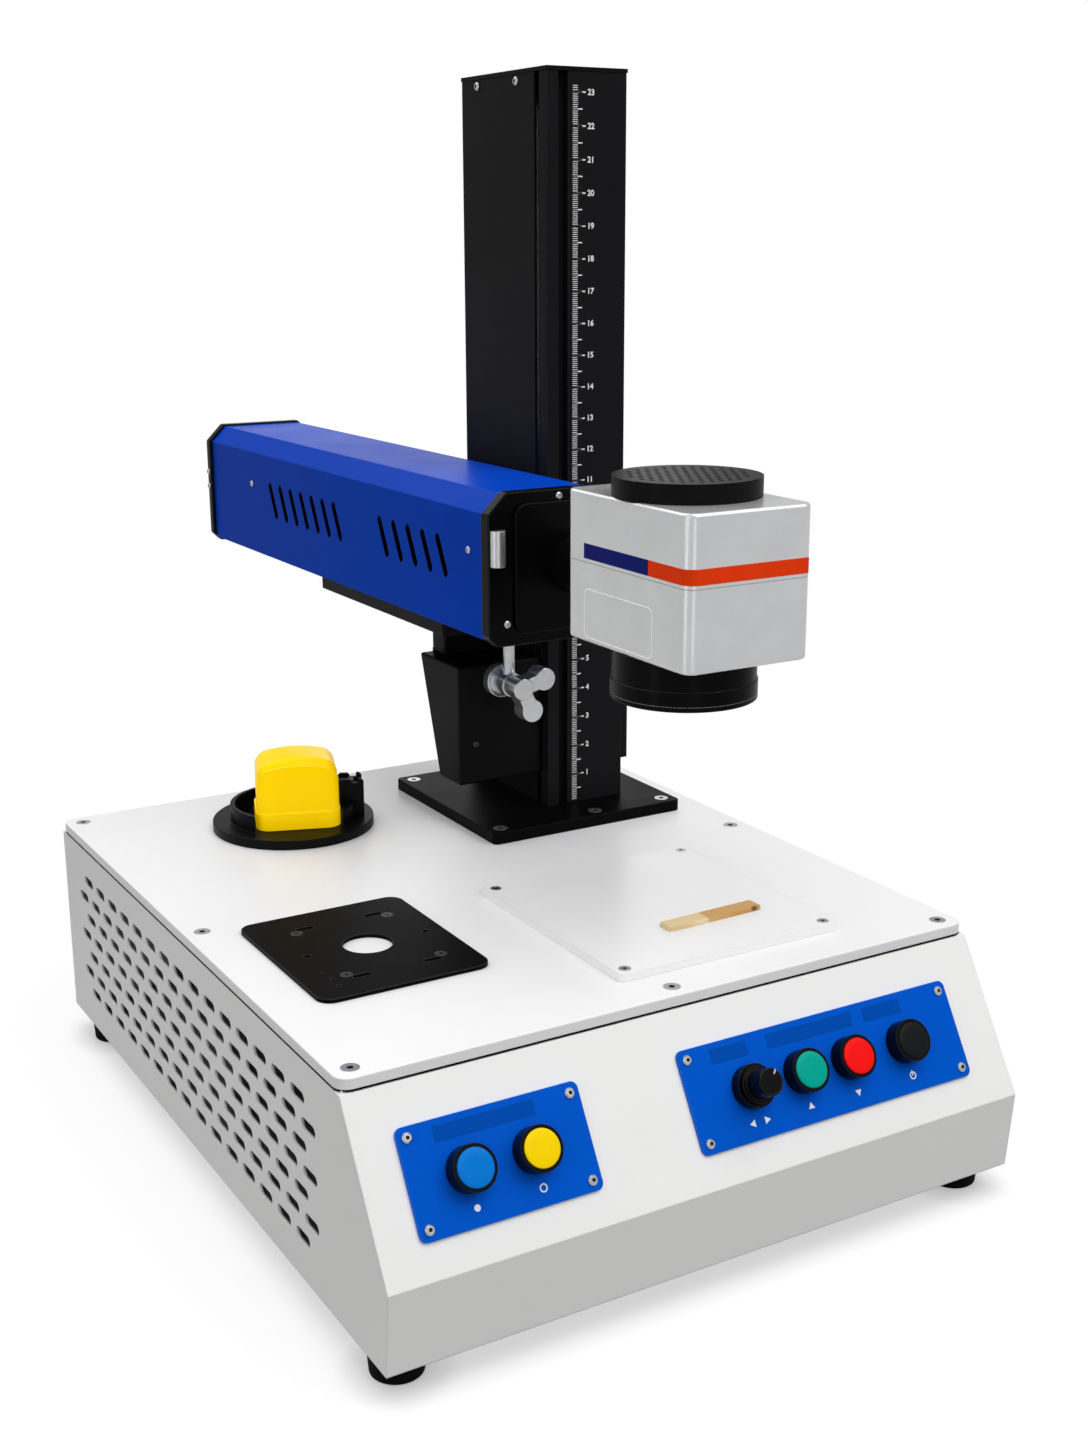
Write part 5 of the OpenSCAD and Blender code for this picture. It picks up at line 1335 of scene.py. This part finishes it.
@dataclass
class Studio:
    """The pale floor, the soft lights and the camera."""

    eye: Place = (-0.6396, -1.2985, 0.6776)
    turn_deg: Place = (74.76, 0.16, -30.53)
    lens_mm: float = 44.78
    ambient: float = 0.50
    mirrored: float = 0.45
    floor_mirrored: float = 0.6
    floor_lift: float = 0.81
    floor_grey: str = "#7C7C7C"
    # reach and depth of the painted contact shadow on the floor
    contact: float = 0.025
    contact_share: float = 0.45
    lights: tuple[tuple, ...] = (("key", (0.7, -1.55, 2.6), 2.8, 59.0),
        ("left", (-2.3, -0.8, 1.3), 2.4, 9.0), ("rear", (-0.5, 1.5, 2.3), 2.4, 22.0),
        ("sheen", (1.0, 1.8, 0.75), 0.9, 2.8),
        ("strip_left", (-1.45, -0.55, 0.30), 0.10, 0.55, 0.60),
        ("strip_front", (-0.48, -1.90, 0.30), 0.10, 0.55, 0.60))

    def build(self) -> None:
        """Set the stage."""
        self.camera()
        self.world()
        self.floor()
        for light in self.lights:
            self.light(*light)
        bpy.context.scene.view_settings.view_transform = "Standard"

    def camera(self) -> None:
        """Put the camera where the photograph was taken from."""
        data = bpy.data.cameras.new("camera")
        data.lens = self.lens_mm
        data.sensor_width = 36.0
        data.clip_start, data.clip_end = 0.05, 40.0
        camera = bpy.data.objects.new("camera", data)
        bpy.context.scene.collection.objects.link(camera)
        camera.location = self.eye
        camera.rotation_euler = [math.radians(a) for a in self.turn_deg]
        bpy.context.scene.camera = camera

    def world(self) -> None:
        """Light the scene evenly, and show white wherever the view or a reflection leaves it."""
        world = bpy.data.worlds.new("studio")
        bpy.context.scene.world = world
        world.use_nodes = True
        tree = world.node_tree
        tree.nodes.clear()
        path = add_node(tree, "LightPath")
        seen = add_node(tree, "Math", {0: path.outputs["Is Camera Ray"],
            1: path.outputs["Is Transmission Ray"]}, operation="MAXIMUM")
        mirrored = add_node(tree, "MapRange", {"Value": path.outputs["Is Glossy Ray"],
            "To Min": self.ambient, "To Max": self.mirrored})
        soft = add_node(tree, "Background", {"Color": linear("#FFFFFF"),
            "Strength": mirrored.outputs["Result"]})
        white = add_node(tree, "Background", {"Color": linear("#FFFFFF"), "Strength": 1.0})
        mixed = add_node(tree, "MixShader", {0: seen.outputs["Value"],
            1: soft.outputs["Background"], 2: white.outputs["Background"]})
        add_node(tree, "OutputWorld", {"Surface": mixed.outputs["Shader"]})

    def floor(self) -> None:
        """Lay a white floor that keeps the machine's soft shadow and fades into the white; near the
        machine its emission is darkened by ambient occlusion, a painted contact shadow.
        """
        deselect()
        bpy.ops.mesh.primitive_plane_add(size=30, location=(0, 0, -0.0002))
        floor = bpy.context.object
        floor.name = "floor"
        material = bpy.data.materials.new("white_paper_floor")
        material.use_nodes = True
        tree = material.node_tree
        tree.nodes.clear()
        path = add_node(tree, "LightPath")
        coords = add_node(tree, "TexCoord")
        reach = add_node(tree, "VectorMath", {0: coords.outputs["Object"], 1: (0.05, -0.1, 0.0)},
            operation="DISTANCE")
        far = add_node(tree, "MapRange", {"Value": reach.outputs["Value"], "From Min": 0.55,
            "From Max": 1.0}, interpolation_type="SMOOTHSTEP")
        dimmed = add_node(tree, "Math", {0: path.outputs["Is Glossy Ray"], 1: self.floor_mirrored},
            operation="MULTIPLY")
        seen = add_node(tree, "Math", {0: path.outputs["Is Camera Ray"],
            1: dimmed.outputs["Value"]}, operation="MAXIMUM")
        # Painted shadow: ambient occlusion darkens the floor's emission under and beside the
        # machine.
        closed = add_node(tree, "AmbientOcclusion", {"Distance": self.contact}, samples=8)
        shade = add_node(tree, "MapRange", {"Value": closed.outputs["AO"], "From Min": 0.25,
            "To Min": self.contact_share * self.floor_lift, "To Max": self.floor_lift})
        lift = add_node(tree, "Math", {0: seen.outputs["Value"], 1: shade.outputs["Result"]},
            operation="MULTIPLY")
        paper = add_node(tree, "BsdfDiffuse", {"Color": linear(self.floor_grey)})
        glow = add_node(tree, "Emission", {"Color": linear("#FFFFFF"),
            "Strength": lift.outputs["Value"]})
        near = add_node(tree, "AddShader", {0: paper.outputs["BSDF"], 1: glow.outputs["Emission"]})
        white = add_node(tree, "Emission", {"Color": linear("#FFFFFF"),
            "Strength": seen.outputs["Value"]})
        both = add_node(tree, "MixShader", {0: far.outputs["Result"], 1: near.outputs["Shader"],
            2: white.outputs["Emission"]})
        add_node(tree, "OutputMaterial", {"Surface": both.outputs["Shader"]})
        floor.data.materials.append(material)

    def light(self, name: str, place: Place, size: float, power: float,
            height: float | None = None) -> None:
        """Hang a soft light that faces the machine.

        Args:
            name: the light's name.
            place: its place in metres.
            size: its width in metres.
            power: its power in watts.
            height: its height in metres, where it isn't square.
        """
        data = bpy.data.lights.new(name, "AREA")
        data.shape = "RECTANGLE"
        data.size = size
        data.size_y = size if height is None else height
        data.energy = power
        light = bpy.data.objects.new(name, data)
        bpy.context.scene.collection.objects.link(light)
        light.location = place
        light.visible_camera = False
        aim = Vector((0.0, 0.0, 0.3)) - Vector(place)
        light.rotation_euler = aim.to_track_quat("-Z", "Y").to_euler()


def main() -> None:
    """Build the scene from the stage to the smallest mark."""
    logging.basicConfig(level=logging.INFO, format="%(name)s %(message)s")
    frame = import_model()
    machine = Machine(frame)
    Studio().build()
    for assembly in (Cabinet, ControlFront, Socket, Column, Carriage, LaserHead, Scanner):
        LOG.info("building %s", assembly.__name__)
        assembly(machine).build()
    deselect()


if __name__ == "__main__":
    main()
